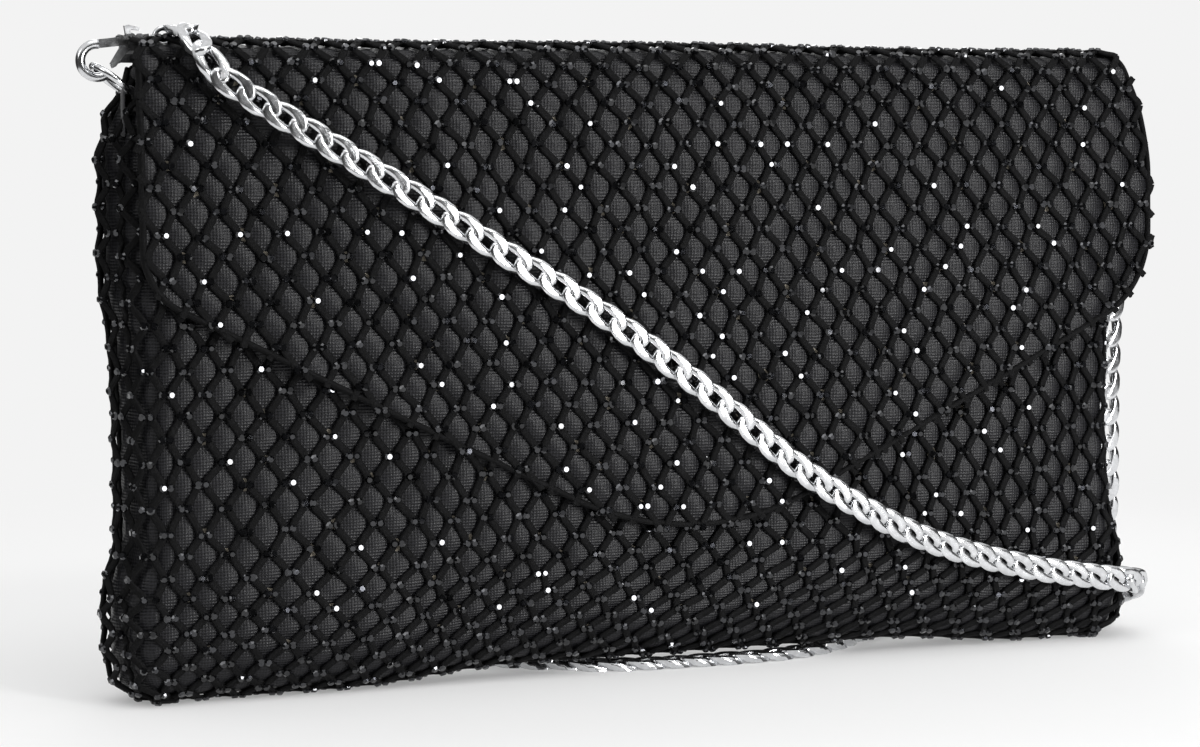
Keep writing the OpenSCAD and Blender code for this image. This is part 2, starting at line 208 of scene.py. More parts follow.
def grid_faces(rows, columns, start=0, flip=False):
    """Quads over a grid of points counted row by row."""
    index = np.arange(rows * columns).reshape(rows, columns) + start
    quads = np.stack([index[:-1, :-1], index[:-1, 1:], index[1:, 1:], index[1:, :-1]], -1).reshape(-1, 4)
    return quads[:, ::-1] if flip else quads


def loop_faces(rings, sides):
    """Quads round a tube whose last ring meets its first."""
    index = np.arange(rings * sides).reshape(rings, sides)
    turned = np.roll(index, -1, axis=1)
    return np.stack([index, turned, np.roll(turned, -1, 0), np.roll(index, -1, 0)], -1).reshape(-1, 4)


def tube_faces(rings, sides):
    """Quads round an open tube."""
    return loop_faces(rings, sides)[:-sides]


def repeat(blocks, faces):
    """Joins equal blocks of points that are all meshed alike."""
    count, size = blocks.shape[:2]
    starts = (np.arange(count) * size)[:, None]
    return blocks.reshape(-1, 3), [list(face) for face in faces for face in (starts + face).tolist()]


def new_piece(name, points, faces, material, cloth=None, smooth=True):
    """A mesh object from points in millimetres. Cloth holds each point's place along the threads."""
    mesh = bpy.data.meshes.new(name)
    mesh.from_pydata((np.asarray(points) * MM).tolist(), [], [list(face) for face in faces])
    mesh.validate()
    if cloth is not None:
        threads = mesh.attributes.new("threads", "FLOAT_VECTOR", "POINT")
        threads.data.foreach_set("vector", (np.asarray(cloth) * MM).astype(np.float32).ravel())
    mesh.polygons.foreach_set("use_smooth", [smooth] * len(mesh.polygons))
    mesh.materials.append(material)
    mesh.update()
    piece = bpy.data.objects.new(name, mesh)
    bpy.context.scene.collection.objects.link(piece)
    return piece


def sheet_piece(name, surface, across, along, outer, inner, material):
    """A thin closed sheet between two depths of a surface. Across and along are its grid."""
    rows, columns = across.shape
    count = across.size
    faces = [grid_faces(rows, columns), grid_faces(rows, columns, count, flip=True)]
    index = np.arange(count).reshape(rows, columns)
    edge = np.concatenate([index[0, :], index[1:, -1], index[-1, -2::-1], index[-2:0:-1, 0]])
    ahead = np.roll(edge, -1)
    faces.append(np.stack([ahead, edge, edge + count, ahead + count], -1))
    flat = join(across, along, 0.0).reshape(-1, 3)
    points = np.concatenate([surface(across, along, depth).reshape(-1, 3) for depth in (outer, inner)])
    return new_piece(name, points, np.concatenate(faces).tolist(), material, np.concatenate([flat, flat]))


def sweep_frames(path, facing):
    """Directions along, across and out of a path that faces one way."""
    along = unit(np.gradient(path, axis=0))
    out = unit(facing - (facing * along).sum(1)[:, None] * along)
    return along, np.cross(out, along), out


def swept_piece(name, path, facing, section, material, smooth=True):
    """A closed outline of (across, out) points swept along a path, with closed ends."""
    _, across, out = sweep_frames(path, facing)
    rings = path[:, None] + section[None, :, :1] * across[:, None] + section[None, :, 1:] * out[:, None]
    count, sides = len(path), len(section)
    faces = tube_faces(count, sides).tolist()
    faces.append(list(range(sides))[::-1])
    faces.append([(count - 1) * sides + k for k in range(sides)])
    threads = join(walked(path)[:, None], walked(section)[None], 0.0).reshape(-1, 3)
    return new_piece(name, rings.reshape(-1, 3), faces, material, threads, smooth)


def round_section(half_width, half_height, sides=12):
    """An oval outline of (across, out) points."""
    turn = np.arange(sides) * TAU / sides
    return np.stack([half_width * np.cos(turn), half_height * np.sin(turn)], -1)


# ---------- materials ----------


def add_node(tree, kind, settings=None, inputs=None, stops=()):
    """Adds a shader node with its settings, its inputs (values or sockets) and its colour stops."""
    node = tree.nodes.new(kind)
    for number, (position, colour) in enumerate(stops):
        node.color_ramp.elements[number].position = position
        node.color_ramp.elements[number].color = colour
    for name, value in (settings or {}).items():
        setattr(node, name, value)
    for name, value in (inputs or {}).items():
        if isinstance(value, bpy.types.NodeSocket):
            tree.links.new(value, node.inputs[name])
        else:
            node.inputs[name].default_value = value
    return node


def rgba(colour, gain=1.0):
    """A linear colour, made lighter or darker, with full alpha."""
    return (*[min(c * gain, 1.0) for c in colour], 1.0)


def start_material(name):
    """An empty material, with its node tree."""
    material = bpy.data.materials.new(name)
    material.use_nodes = True
    material.node_tree.nodes.clear()
    return material, material.node_tree


def end_material(tree, height, stops, relief, look):
    """Lets colour and bump follow a height, and gives the shader the rest of its look.

    Relief is the bump's strength and its depth in millimetres, or None for a smooth face.
    """
    tone = add_node(tree, "ShaderNodeValToRGB", None, {"Fac": height}, stops)
    inputs = {"Base Color": tone.outputs["Color"], **look}
    if relief:
        strength, depth = relief
        bump = add_node(
            tree, "ShaderNodeBump", None, {"Height": height, "Strength": strength, "Distance": depth * MM}
        )
        inputs["Normal"] = bump.outputs["Normal"]
    shader = add_node(tree, "ShaderNodeBsdfPrincipled", None, inputs)
    add_node(tree, "ShaderNodeOutputMaterial", None, {"Surface": shader.outputs["BSDF"]})


def threads_at(tree, spacing):
    """Places along a cloth's threads, counted in threads of the given spacing in millimetres."""
    place = add_node(tree, "ShaderNodeAttribute", {"attribute_name": "threads"})
    scale = {0: place.outputs["Vector"], "Scale": 1 / (spacing * MM)}
    return add_node(tree, "ShaderNodeVectorMath", {"operation": "SCALE"}, scale).outputs["Vector"]


def woven(tree, threads, warp_share):
    """Height of a plain weave: rounded ribs one way, crossed by finer threads the other way."""
    split = add_node(tree, "ShaderNodeSeparateXYZ", None, {"Vector": threads})
    waves = []
    for axis in ("X", "Y"):
        turns = add_node(tree, "ShaderNodeMath", {"operation": "MULTIPLY"}, {0: split.outputs[axis], 1: TAU})
        wave = add_node(tree, "ShaderNodeMath", {"operation": "SINE"}, {0: turns.outputs[0]})
        waves.append(wave.outputs[0])
    crossed = add_node(tree, "ShaderNodeMath", {"operation": "MULTIPLY"}, {0: waves[0], 1: warp_share})
    summed = add_node(tree, "ShaderNodeMath", {"operation": "ADD"}, {0: crossed.outputs[0], 1: waves[1]})
    return add_node(
        tree, "ShaderNodeMapRange", None,
        {"Value": summed.outputs[0], "From Min": -1.0 - warp_share, "From Max": 1.0 + warp_share},
    ).outputs["Result"]


def ribbed_satin(colour):
    """Polyester satin with a fine rib: dark, with a soft broad gloss. Its colour follows the rib, with a
    painted highlight on the thread crowns and painted shade in the grooves.

    The real threads are about 0.15 mm apart. They are drawn 0.68 mm apart, so that they show.
    """
    _, tree = start_material("ribbed black satin")
    threads = threads_at(tree, 0.68)
    weave = woven(tree, threads, 0.55)
    slub = add_node(tree, "ShaderNodeTexNoise", None, {"Vector": threads, "Scale": 0.9, "Detail": 3.0})
    mixed = {0: slub.outputs["Fac"], 1: 0.5, 2: weave}
    height = add_node(tree, "ShaderNodeMath", {"operation": "MULTIPLY_ADD"}, mixed)
    gloss = add_node(
        tree, "ShaderNodeMapRange", None, {"Value": slub.outputs["Fac"], "To Min": 0.3, "To Max": 0.5}
    )
    # Painted highlight and shade on the real rib: the crowns reach 3.4 times the satin's colour and the
    # grooves fall to 0.3 times. The slub adds real uneven tone.
    stops = ((0.3, rgba(colour, 0.3)), (1.0, rgba(colour, 3.4)))
    look = {
        "Roughness": gloss.outputs["Result"],
        "Specular IOR Level": 0.24,
        "Sheen Weight": 0.01,
        "Sheen Roughness": 0.4,
    }
    end_material(tree, height.outputs[0], stops, (0.9, 0.085), look)


def nylon_cord(colour):
    """Knitted nylon cord: matt and near black, with a slight fuzz and tight stitches.

    The stitches are about 0.2 mm long, and drawn 0.45 mm long so that they show.
    """
    _, tree = start_material("matt black nylon cord")
    place = add_node(tree, "ShaderNodeTexCoord").outputs["Object"]
    tight = {"Vector": place, "Scale": 1 / (0.45 * MM)}
    stitch = add_node(tree, "ShaderNodeTexVoronoi", {"feature": "F1"}, tight)
    loose = {"Vector": place, "Scale": 1 / (1.6 * MM), "Detail": 4.0}
    fuzz = add_node(tree, "ShaderNodeTexNoise", None, loose)
    mixed = {0: fuzz.outputs["Fac"], 1: stitch.outputs["Distance"]}
    height = add_node(tree, "ShaderNodeMath", {"operation": "SUBTRACT"}, mixed)
    stops = ((0.0, rgba(colour, 0.5)), (0.6, rgba(colour, 1.8)))
    look = {"Roughness": 0.75, "Specular IOR Level": 0.12, "Sheen Weight": 0.01, "Sheen Roughness": 0.5}
    end_material(tree, height.outputs[0], stops, (0.6, 0.12), look)


def cut_stone(colour):
    """Foil-backed cut glass in smoke black: its flat facets mirror the lights, or else stay dark."""
    _, tree = start_material("smoke black cut glass")
    place = add_node(tree, "ShaderNodeTexCoord").outputs["Object"]
    slow = {"Vector": place, "Scale": 1 / (6 * MM), "Detail": 2.0}
    cloud = add_node(tree, "ShaderNodeTexNoise", None, slow).outputs["Fac"]
    shine = add_node(tree, "ShaderNodeMapRange", None, {"Value": cloud, "To Min": 0.05, "To Max": 0.16})
    stops = ((0.35, rgba(colour, 0.35)), (0.7, rgba(colour, 1.3)))
    look = {
        "Metallic": 0.9,
        "Roughness": shine.outputs["Result"],
        "Coat Weight": 1.0,
        "Coat Roughness": 0.03,
    }
    end_material(tree, cloud, stops, None, look)


def lining_cloth(colour):
    """Plain-woven polyester lining: soft, slightly silky, with an even fine weave.

    The threads are drawn 0.6 mm apart, three times the real spacing, so that they show.
    """
    _, tree = start_material("black polyester lining")
    weave = woven(tree, threads_at(tree, 0.6), 1.0)
    stops = ((0.0, rgba(colour, 0.6)), (1.0, rgba(colour, 1.5)))
    end_material(tree, weave, stops, (0.4, 0.08), {"Roughness": 0.55, "Sheen Weight": 0.3})


def grey_board():
    """Pressed grey bag board: flat and dusty, with short paper fibres."""
    _, tree = start_material("grey pressed board")
    place = add_node(tree, "ShaderNodeTexCoord").outputs["Object"]
    short = {"Vector": place, "Scale": 1 / (1.2 * MM), "Detail": 6.0, "Distortion": 1.5}
    fibre = add_node(tree, "ShaderNodeTexNoise", None, short).outputs["Fac"]
    stops = ((0.0, rgba(hex_colour("#6f695e"))), (1.0, rgba(hex_colour("#9a9385"))))
    end_material(tree, fibre, stops, (0.3, 0.1), {"Roughness": 0.9})


def metal(name, colour, roughness, scratch_mm, scratch_depth):
    """A bare metal whose finish is set by its scratches: their length, depth and overall roughness."""
    _, tree = start_material(name)
    place = add_node(tree, "ShaderNodeTexCoord").outputs["Object"]
    fine = {"Vector": place, "Scale": 1 / (scratch_mm * MM), "Detail": 5.0}
    scratch = add_node(tree, "ShaderNodeTexNoise", None, fine).outputs["Fac"]
    worn = add_node(
        tree, "ShaderNodeMapRange", None,
        {"Value": scratch, "To Min": roughness * 0.5, "To Max": roughness * 1.6},
    )
    stops = ((0.3, rgba(colour, 0.85)), (0.7, rgba(colour, 1.05)))
    look = {"Metallic": 1.0, "Roughness": worn.outputs["Result"]}
    end_material(tree, scratch, stops, (0.15, scratch_depth), look)


def finishes(context):
    """Every material of the bag, made once and kept by name."""
    if "ribbed black satin" not in bpy.data.materials:
        colours = context.scene.bag_colours
        ribbed_satin(colours.satin)
        nylon_cord(colours.cord)
        cut_stone(colours.stone)
        lining_cloth(colours.lining)
        grey_board()
        # Nickel-plated steel, tumbled and polished: a clear mirror with the faintest haze
        metal("polished nickel plate", colours.metal, 0.18, 1.5, 0.02)
        # The clasps' stamped levers: the same plate, tumbled to a softer shine
        metal("tumbled nickel plate", colours.metal, 0.34, 1.0, 0.02)
        # Hard-drawn spring wire: a little darker and greyer than the plated parts
        metal("drawn spring wire", [c * 0.7 for c in colours.metal], 0.3, 0.6, 0.02)
        # Turned magnet cup: dull nickel with a fine grain
        metal("dull nickel magnet", [c * 0.6 for c in colours.metal], 0.38, 0.8, 0.03)
    return bpy.data.materials


# ---------- the body: one soft wall that rounds under into the base ----------

CORNER_R = 6.0  # upright corners of the body in plan
UNDER_Y = 9.0  # how far the front and the back round in under the body
UNDER_X = 4.0  # how far the sides do
UNDER_Z = 15.0  # the height over which it does so
LIFT = 2.7  # how far the middle of the base stands off the floor
LIFT_FADE = 40.0  # the distance along the base, and up the wall, over which it does so
QUIET_TOP = 25.0  # the swells die away over this height below the fold
QUIET_LOW = 12.0  # and over this height above the floor
FOLD_STAND = 0.5  # how far the net stands off the satin over the folds
SIDE_STAND = 1.1  # how far the net stands off the satin where it turns round the sides


def eased(t):
    """Goes smoothly from 0 to 1."""
    t = np.clip(t, 0, 1)
    return t * t * (3 - 2 * t)


def lift_at(x):
    """How far the base stands off the floor: level in the middle, and down at both ends."""
    return LIFT * eased((x + 75) / LIFT_FADE) * eased((95 - x) / LIFT_FADE)


def lean_at(z):
    """How far the front and the back lean in above their fullest height."""
    return np.maximum(z - FULL_Z, 0) ** 2 / (2 * FACE_R)


def plan_outline():
    """The body's outline in plan, walked from the back's left end round the left side first."""
    turn = np.linspace(0, math.pi / 2, 12)
    rise = np.linspace(0, 1, 24)
    depth = BACK_Y - FRONT_Y - 2 * CORNER_R
    bulge = GUSSET_BULGE * (1 - (2 * rise - 1) ** 2)
    left, right = BODY_LEFT + CORNER_R, BODY_RIGHT - CORNER_R
    back, front = BACK_Y - CORNER_R, FRONT_Y + CORNER_R
    parts = [
        np.stack([left - CORNER_R * np.sin(turn), back + CORNER_R * np.cos(turn)], -1),
        np.stack([BODY_LEFT - bulge, back - depth * rise], -1),
        np.stack([left - CORNER_R * np.cos(turn), front - CORNER_R * np.sin(turn)], -1),
        np.stack([np.linspace(left, right, 300), np.full(300, FRONT_Y)], -1),
        np.stack([right + CORNER_R * np.sin(turn), front - CORNER_R * np.cos(turn)], -1),
        np.stack([BODY_RIGHT + bulge, front + depth * rise], -1),
        np.stack([right + CORNER_R * np.cos(turn), back + CORNER_R * np.sin(turn)], -1),
        np.stack([np.linspace(right, left, 300), np.full(300, BACK_Y)], -1),
    ]
    walk = np.concatenate(parts)
    walk = walk[np.concatenate([[True], np.diff(walked(walk)) > 1e-6])]
    reach = walked(walk)
    points = evenly(walk, reach, np.linspace(0, reach[-1], 1400, endpoint=False))
    for _ in range(6):
        points = (np.roll(points, 1, 0) + 2 * points + np.roll(points, -1, 0)) / 4
    return points, reach[-1]


OUTLINE, GIRTH = plan_outline()
FRONT_START = CORNER_R * math.pi + BACK_Y - FRONT_Y - 2 * CORNER_R  # where the front starts round it
FRONT_END = FRONT_START + BODY_RIGHT - BODY_LEFT - 2 * CORNER_R
BASE_HALF = (BACK_Y - FRONT_Y) / 2 - UNDER_Y  # half the flat strip down the middle of the base
UNDER_TURN = np.linspace(0, math.pi / 2, 60)
UNDER_IN = UNDER_Y * (1 - np.sin(UNDER_TURN))
UNDER_UP = UNDER_Z * (1 - np.cos(UNDER_TURN))
UNDER_REACH = walked(np.stack([UNDER_IN, UNDER_UP], -1))
UNDER_ARC = UNDER_REACH[-1]


def round_plan(a):
    """The outline's point and outward direction at a distance round it."""
    count = len(OUTLINE)
    place = np.mod(a / GIRTH, 1.0) * count
    at = np.arange(count + 1)
    ring = np.concatenate([OUTLINE, OUTLINE[:1]])
    along = np.roll(OUTLINE, -2, 0) - np.roll(OUTLINE, 2, 0)
    out = unit(np.stack([along[:, 1], -along[:, 0]], -1))
    out = np.concatenate([out, out[:1]])
    x, y = (np.interp(place, at, ring[:, k]) for k in (0, 1))
    nx, ny = (np.interp(place, at, out[:, k]) for k in (0, 1))
    return x, y, nx, ny


def drape(x, z, seed):
    """Slow swells in a soft face, under a millimetre high. They stop at the magnets."""
    swell = 0.55 * np.sin(x / 19 + seed) * np.sin(z / 15 + 2 * seed)
    swell += 0.35 * np.sin(x / 11 + z / 17 + 3 * seed) + 0.2 * np.sin(x / 7 - z / 9 + seed)
    near = np.hypot(x - FLAP_MAGNET[0], z - FLAP_MAGNET[2]) / 22
    return swell * eased(near - 0.2)


def side_fold(x, z):
    """How far the soft sides stand out at each height. The right one draws in under the flap."""
    heights = [0, 10, 23, 34, 55, 76, 90, 118, 124, 129, 135]
    left = [2.2, 3.4, 3.6, 0.6, 0.6, 1.2, 3.4, 3.4, 1.6, -1.6, -4.0]
    right = [2.2, 3.0, 1.2, -2.2, -4.4, -4.6, -3.4, -1.0, 0.0, -0.5, -3.0]
    return np.where(x < 0, np.interp(z, heights, left), np.interp(z, heights, right))


def under_reach(ny):
    """How far the wall rounds in under the body, where it faces a given way."""
    return UNDER_X + (UNDER_Y - UNDER_X) * ny**2


def wall(a, b, depth):
    """A point of the body's wall: a runs round the outline, b up from the base, depth outwards.

    Below the wall, where b is less than 0, it runs on across the flat of the base.
    """
    x, y, nx, ny = round_plan(a)
    turned = np.interp(b, UNDER_REACH, UNDER_TURN)
    inward = under_reach(ny) * (1 - np.sin(turned)) + np.maximum(-b, 0)
    z = UNDER_Z * (1 - np.cos(turned)) + np.maximum(b - UNDER_ARC, 0)
    facing = np.abs(ny) ** 2
    lean = lean_at(z) * facing
    fade = eased((FOLD_Z - z) / QUIET_TOP) * eased(z / QUIET_LOW)
    soft = drape(x, z, np.where(ny < 0, 0.7, 2.9)) * facing * fade
    soft = soft + side_fold(x, z) * (1 - facing) * eased(z / 4)
    level = np.sin(turned)
    push = depth * level - inward - lean + soft
    lift = lift_at(x) * (1 - eased(z / LIFT_FADE))
    drop = depth * np.sqrt(1 - level**2)
    return join(x + nx * push, y + ny * push, z + lift - drop)


def rim_height(a):
    """Height of the wall's upper edge: the mouth in front, lower at the sides, the fold behind."""
    x, y, _, _ = round_plan(a)
    share = (y - FRONT_Y) / (BACK_Y - FRONT_Y)
    sides = GUSSET_TOP + 1
    heights = [MOUTH_Z, MOUTH_Z, sides + 4, sides + 6, FOLD_Z, FOLD_Z, FOLD_Z]
    top = np.interp(share, [0, 0.1, 0.24, 0.42, 0.62, 0.85, 1], heights)
    over = np.maximum(np.abs(x - BODY_MID) - FOLD_HALF - 2, 0)
    return top - 0.04 * over**1.5


def rim_reach(a):
    """Distance up the wall to its upper edge."""
    return rim_height(a) - UNDER_Z + UNDER_ARC


# ---------- the cover: back fold, spine, front fold and flap in one strip ----------

FOLD_ARC = FOLD_R * math.pi / 2
SPINE_DEEP = 2 * (FOLD_Y - FOLD_R)
C_SPINE = FOLD_ARC
C_FRONT = C_SPINE + SPINE_DEEP
C_FLAP = C_FRONT + FOLD_ARC
C_TIP = C_FLAP + FOLD_Z - FLAP_TIP
FLAP_FALL = 26.5  # degrees by which the flap's lower edges fall towards its tip
TIP_R, LEFT_R, RIGHT_R = 66.0, 15.0, 22.0  # radii of the flap's tip and of its two low corners
SHOULDER_Z = 104.0  # height at which the flap's right side starts to draw in towards the fold
RIGHT_FOLD = 112.5  # how far out the fold reaches on the right
LEFT_SPREAD = 1.2  # how far the left side spreads past its cut edge


def cover(x, c, depth):
    """A point of the cover: x across the bag, c from the back panel's top over to the flap's tip."""
    back = np.clip(c / FOLD_R, 0, math.pi / 2)
    front = np.clip((c - C_FRONT) / FOLD_R, 0, math.pi / 2)
    over = np.clip(c - C_SPINE, 0, SPINE_DEEP)
    down = np.maximum(c - C_FLAP, 0)
    r = FOLD_R + depth
    y = FOLD_Y - FOLD_R + r * np.cos(back) - over - r * np.sin(front)
    z = FOLD_Z + r * np.sin(back) - r * (1 - np.cos(front)) - down
    z = z - 0.25 * (1 - np.cos(x / 21)) * eased(c / 6) * eased((C_FLAP + 8 - c) / 20)
    lean = (LEAN - lean_at(z)) * eased(down / 6 + 0.001)
    gap = drape(x, z, 4.2) * eased(down / 25) * eased((C_TIP + 10 - c) / 20)
    return join(x, y - lean - gap, z)


def flap_corners():
    """The flap's outline laid flat, anticlockwise from the low left corner, as (x, height, radius)."""
    fall = math.radians(FLAP_FALL)
    slope = math.tan(fall)
    tip_x = FLAP_MAGNET[0]
    tip = FLAP_TIP - TIP_R * (1 / math.cos(fall) - 1)
    top = FOLD_Z + C_FLAP + 30
    return [
        (FLAP_LEFT, tip + slope * (tip_x - FLAP_LEFT), LEFT_R),
        (tip_x, tip, TIP_R),
        (FLAP_RIGHT, tip + slope * (FLAP_RIGHT - tip_x), RIGHT_R),
        (FLAP_RIGHT, top, 1.0),
        (FLAP_LEFT, top, 1.0),
    ]


def inset(corners, gap):
    """Moves each side of a convex outline in."""
    moved = []
    for k, (x, z, radius) in enumerate(corners):
        here = np.array([x, z])
        before = np.array(corners[k - 1][:2])
        after = np.array(corners[(k + 1) % len(corners)][:2])
        sides = [here - before, after - here]
        left = [np.array([-s[1], s[0]]) / np.linalg.norm(s) for s in sides]
        spot = here + gap * (left[0] + left[1]) / (1 + left[0] @ left[1])
        moved.append((spot[0], spot[1], max(radius - gap, 0.5)))
    return moved


def rounded(corners, steps=14):
    """Rounds each corner of an anticlockwise outline with its own radius."""
    points = []
    for k, (x, z, radius) in enumerate(corners):
        here = np.array([x, z])
        u = unit(np.array(corners[k - 1][:2]) - here)
        v = unit(np.array(corners[(k + 1) % len(corners)][:2]) - here)
        half = math.acos(np.clip(u @ v, -1, 1)) / 2
        centre = here + unit(u + v) * radius / math.sin(half)
        start = math.atan2(u[0], -u[1])
        for turn in np.linspace(start, start + math.pi - 2 * half, steps):
            points.append(centre + radius * np.array([math.cos(turn), math.sin(turn)]))
    return np.array(points)


def flap_sides(gap):
    """The left and right ends of the cover at each distance c, as functions, and its last c."""
    outline = rounded(inset(flap_corners(), gap))
    lowest = int(np.argmin(outline[:, 1]))
    outline = np.roll(outline, -lowest, axis=0)
    highest = int(np.argmax(outline[:, 1]))
    right = outline[: highest + 1]
    left = np.concatenate([outline[:1], outline[:highest:-1]])
    flat_top = FOLD_Z + C_FLAP

    def left_of(c):
        spread = LEFT_SPREAD * eased((C_TIP - c) / 30)
        return np.interp(flat_top - c, left[:, 1], left[:, 0]) - spread

    def right_of(c):
        rise = np.clip((flat_top - c - SHOULDER_Z) / (flat_top - C_FRONT - SHOULDER_Z), 0, 1)
        return np.interp(flat_top - c, right[:, 1], right[:, 0]) - (FLAP_RIGHT - RIGHT_FOLD) * rise**2.4

    return left_of, right_of, flat_top - outline[0, 1]


def cover_grid(gap, start, end, across_steps, along_steps):
    """Grid of (x, c) places over the cover, drawn in from its edge by a gap."""
    left_of, right_of, last = flap_sides(gap)
    end = min(end, last)
    c = start + (end - start) * np.linspace(0, 1, along_steps)
    if end == last:
        c = start + (end - start) * np.sin(np.linspace(0, math.pi / 2, along_steps))
    share = np.linspace(0, 1, across_steps)
    x = left_of(c)[:, None] + (right_of(c) - left_of(c))[:, None] * share[None]
    return x, np.broadcast_to(c[:, None], x.shape)


# ---------- the net ----------

ROW_COUNT = 48  # rows that each net has places for
BODY_ROWS = 34  # rows tied over the body
FLAP_ROWS = 36  # rows tied over the spine and the flap
FOLD_ROWS = 8  # rows tied over the back fold
FLAP_COLUMNS = (-20, 18)
KNOT_HALF = 0.9  # half the length of a knot, and half the distance between its stones
CORD_RINGS = 5  # rings along one cord from knot to knot
CORD_DEPTH = -0.72  # the cords' middle, below the net's outer face
STONE_SIDES = 8


class Net:
    """A net laid over a surface: where its knots are, and how the satin puffs through its cells."""

    def __init__(self, surface, pitch, rows, sway, inside):
        self.surface = surface
        self.pitch = pitch
        self.rows = rows
        self.sway = sway
        self.inside = inside

    def cells(self, a, b):
        """How many pitches across and up a place lies."""
        up = np.interp(b, self.rows, np.arange(len(self.rows)) / 2)
        return (a - self.sway(a, b)) / self.pitch, up

    def puff(self, a, b):
        """1 at the middle of a cell and 0 at a knot."""
        across, up = self.cells(a, b)
        return (1 - np.cos(TAU * across) * np.cos(TAU * up)) / 2

    def knot(self, column, row):
        """The place of a knot. Every second row is moved by half a pitch."""
        b = np.interp(row, np.arange(len(self.rows)), self.rows)
        start = self.pitch * (column + 0.5 * np.mod(row, 2))
        a = start
        for _ in range(4):
            a = start + self.sway(a, b)
        return a, b


def soft_surface(surface, net):
    """A surface with the satin a little crumpled, and puffing out between the net's cords."""

    def puffed(a, b, depth):
        crumple = 0.22 * np.sin(a / 2.9 + 1.3 * np.sin(b / 7)) * np.sin(b / 3.3 + 1.1 * np.sin(a / 9))
        return surface(a, b, depth + 0.85 * (net.puff(a, b) - 0.6) + crumple)

    return puffed


def surface_frames(surface, a, b, depth):
    """Points of a surface with their directions across, up and out."""
    step = 0.2
    middle = surface(a, b, depth)
    across = unit(surface(a + step, b, depth) - surface(a - step, b, depth))
    up = surface(a, b + step, depth) - surface(a, b - step, depth)
    out = unit(np.cross(across, up))
    rise = surface(a, b, depth + step) - middle
    out *= np.sign((out * rise).sum(-1))[..., None]
    return middle, across, np.cross(out, across), out


def body_net(sizes):
    """The net round the body. It gathers under the front and leans over to the right there."""
    columns = round(GIRTH / (sizes.body_pitch / MM))
    low_row, body_row = sizes.low_row / MM, sizes.body_row / MM
    gather_from, gather_to = 20.0, 34.0
    rows = [-low_row * 1.5]
    for _ in range(ROW_COUNT):
        share = eased((rows[-1] - gather_from) / (gather_to - gather_from))
        rows.append(rows[-1] + (1 - share) * low_row + share * body_row)

    def sway(a, b):
        x = round_plan(a)[0]
        front = eased((a - FRONT_START) / 60) * eased((FRONT_END + 80 - a) / 80)
        low = np.minimum(b, 30.0)
        lean = 0.28 + 0.3 * eased((x + 40) / 100)
        return front * (lean * low - 0.1 * (b - low)) + 0.5 * np.sin(b / 13 + a / 31)

    def inside(a, b):
        return (b > -BASE_HALF) & (b < rim_reach(a) + 0.4)

    def standing(a, b, depth):
        ny = round_plan(a)[3]
        return wall(a, b, depth + SIDE_STAND * (1 - ny**2) * eased(b / QUIET_LOW))

    return Net(standing, GIRTH / columns, np.array(rows), sway, inside), columns


def cover_net(sizes):
    """The net over the fold, the spine and the flap. Its rows fall slightly to the right."""
    left_of, right_of, last = flap_sides(-0.3)
    rows = [-6.0]
    for _ in range(ROW_COUNT):
        share = 0.78 + 0.22 * eased((rows[-1] - C_FRONT) / 24)
        rows.append(rows[-1] + share * sizes.flap_row / MM)

    def sway(x, c):
        return 0.13 * c + 0.6 * np.sin(c / 17 + x / 37)

    def inside(x, c):
        return (c > 0.3) & (c < last) & (x > left_of(c)) & (x < right_of(c))

    def standing(x, c, depth):
        return cover(x, c, depth + FOLD_STAND * eased((C_FLAP + 6 - c) / 10))

    return Net(standing, sizes.flap_pitch / MM, np.array(rows), sway, inside)


def doubled_section(width, height):
    """The outline of two cords side by side."""
    w, h = width / 2, height / 2
    return np.array(
        [
            [w, 0], [0.62 * w, h], [0, 0.5 * h], [-0.62 * w, h],
            [-w, 0], [-0.62 * w, -h], [0, -0.5 * h], [0.62 * w, -h],
        ]
    )


def trimmed(inside, a, b):
    """How much of each cord, walked from its first end, lies inside the net's edge."""
    keep = inside(a, b)
    outside = np.argmin(keep, axis=1)
    return np.where(keep.all(axis=1), a.shape[1] - 1, outside - 1)


def cords(net, ends, section):
    """The doubled cords between pairs of knots, as blocks of points."""
    a0, b0, a1, b1 = ends
    side = np.sign(a1 - a0)
    a0, a1 = a0 + side * KNOT_HALF, a1 - side * KNOT_HALF
    share = np.linspace(0, 1, 25)
    a = a0[:, None] + (a1 - a0)[:, None] * eased(share)[None]
    b = b0[:, None] + (b1 - b0)[:, None] * share[None]
    last = trimmed(net.inside, a, b)
    kept = last > 2
    a0, a1, b0, b1 = a0[kept], a1[kept], b0[kept], b1[kept]
    part = np.linspace(0, 1, CORD_RINGS)[None] * (last[kept] / 24)[:, None]
    a = a0[:, None] + (a1 - a0)[:, None] * eased(part)
    b = b0[:, None] + (b1 - b0)[:, None] * part
    depth = CORD_DEPTH + 0.12 * np.cos(TAU * part)
    middle, _, _, out = surface_frames(net.surface, a, b, depth)
    across = np.cross(out, unit(np.gradient(middle, axis=1)))
    spread = section[None, None, :, :1] * across[:, :, None] + section[None, None, :, 1:] * out[:, :, None]
    return (middle[:, :, None] + spread).reshape(len(middle), -1, 3)


def knot_bars(net, a, b):
    """The short bars that tie the cords together, as blocks of points."""
    shape = [(-1.6, 0.2), (-1.2, 0.6), (-0.4, 0.48), (0.4, 0.48), (1.2, 0.6), (1.6, 0.2)]
    middle, across, up, out = surface_frames(net.surface, a, b, CORD_DEPTH + 0.1)
    turn = np.arange(6) * TAU / 6
    rings = []
    for reach, radius in shape:
        ring = middle[:, None] + reach * across[:, None]
        ring = ring + radius * 1.25 * np.cos(turn)[None, :, None] * up[:, None]
        rings.append(ring + radius * np.sin(turn)[None, :, None] * out[:, None])
    return np.stack(rings, 1).reshape(len(a), -1, 3)


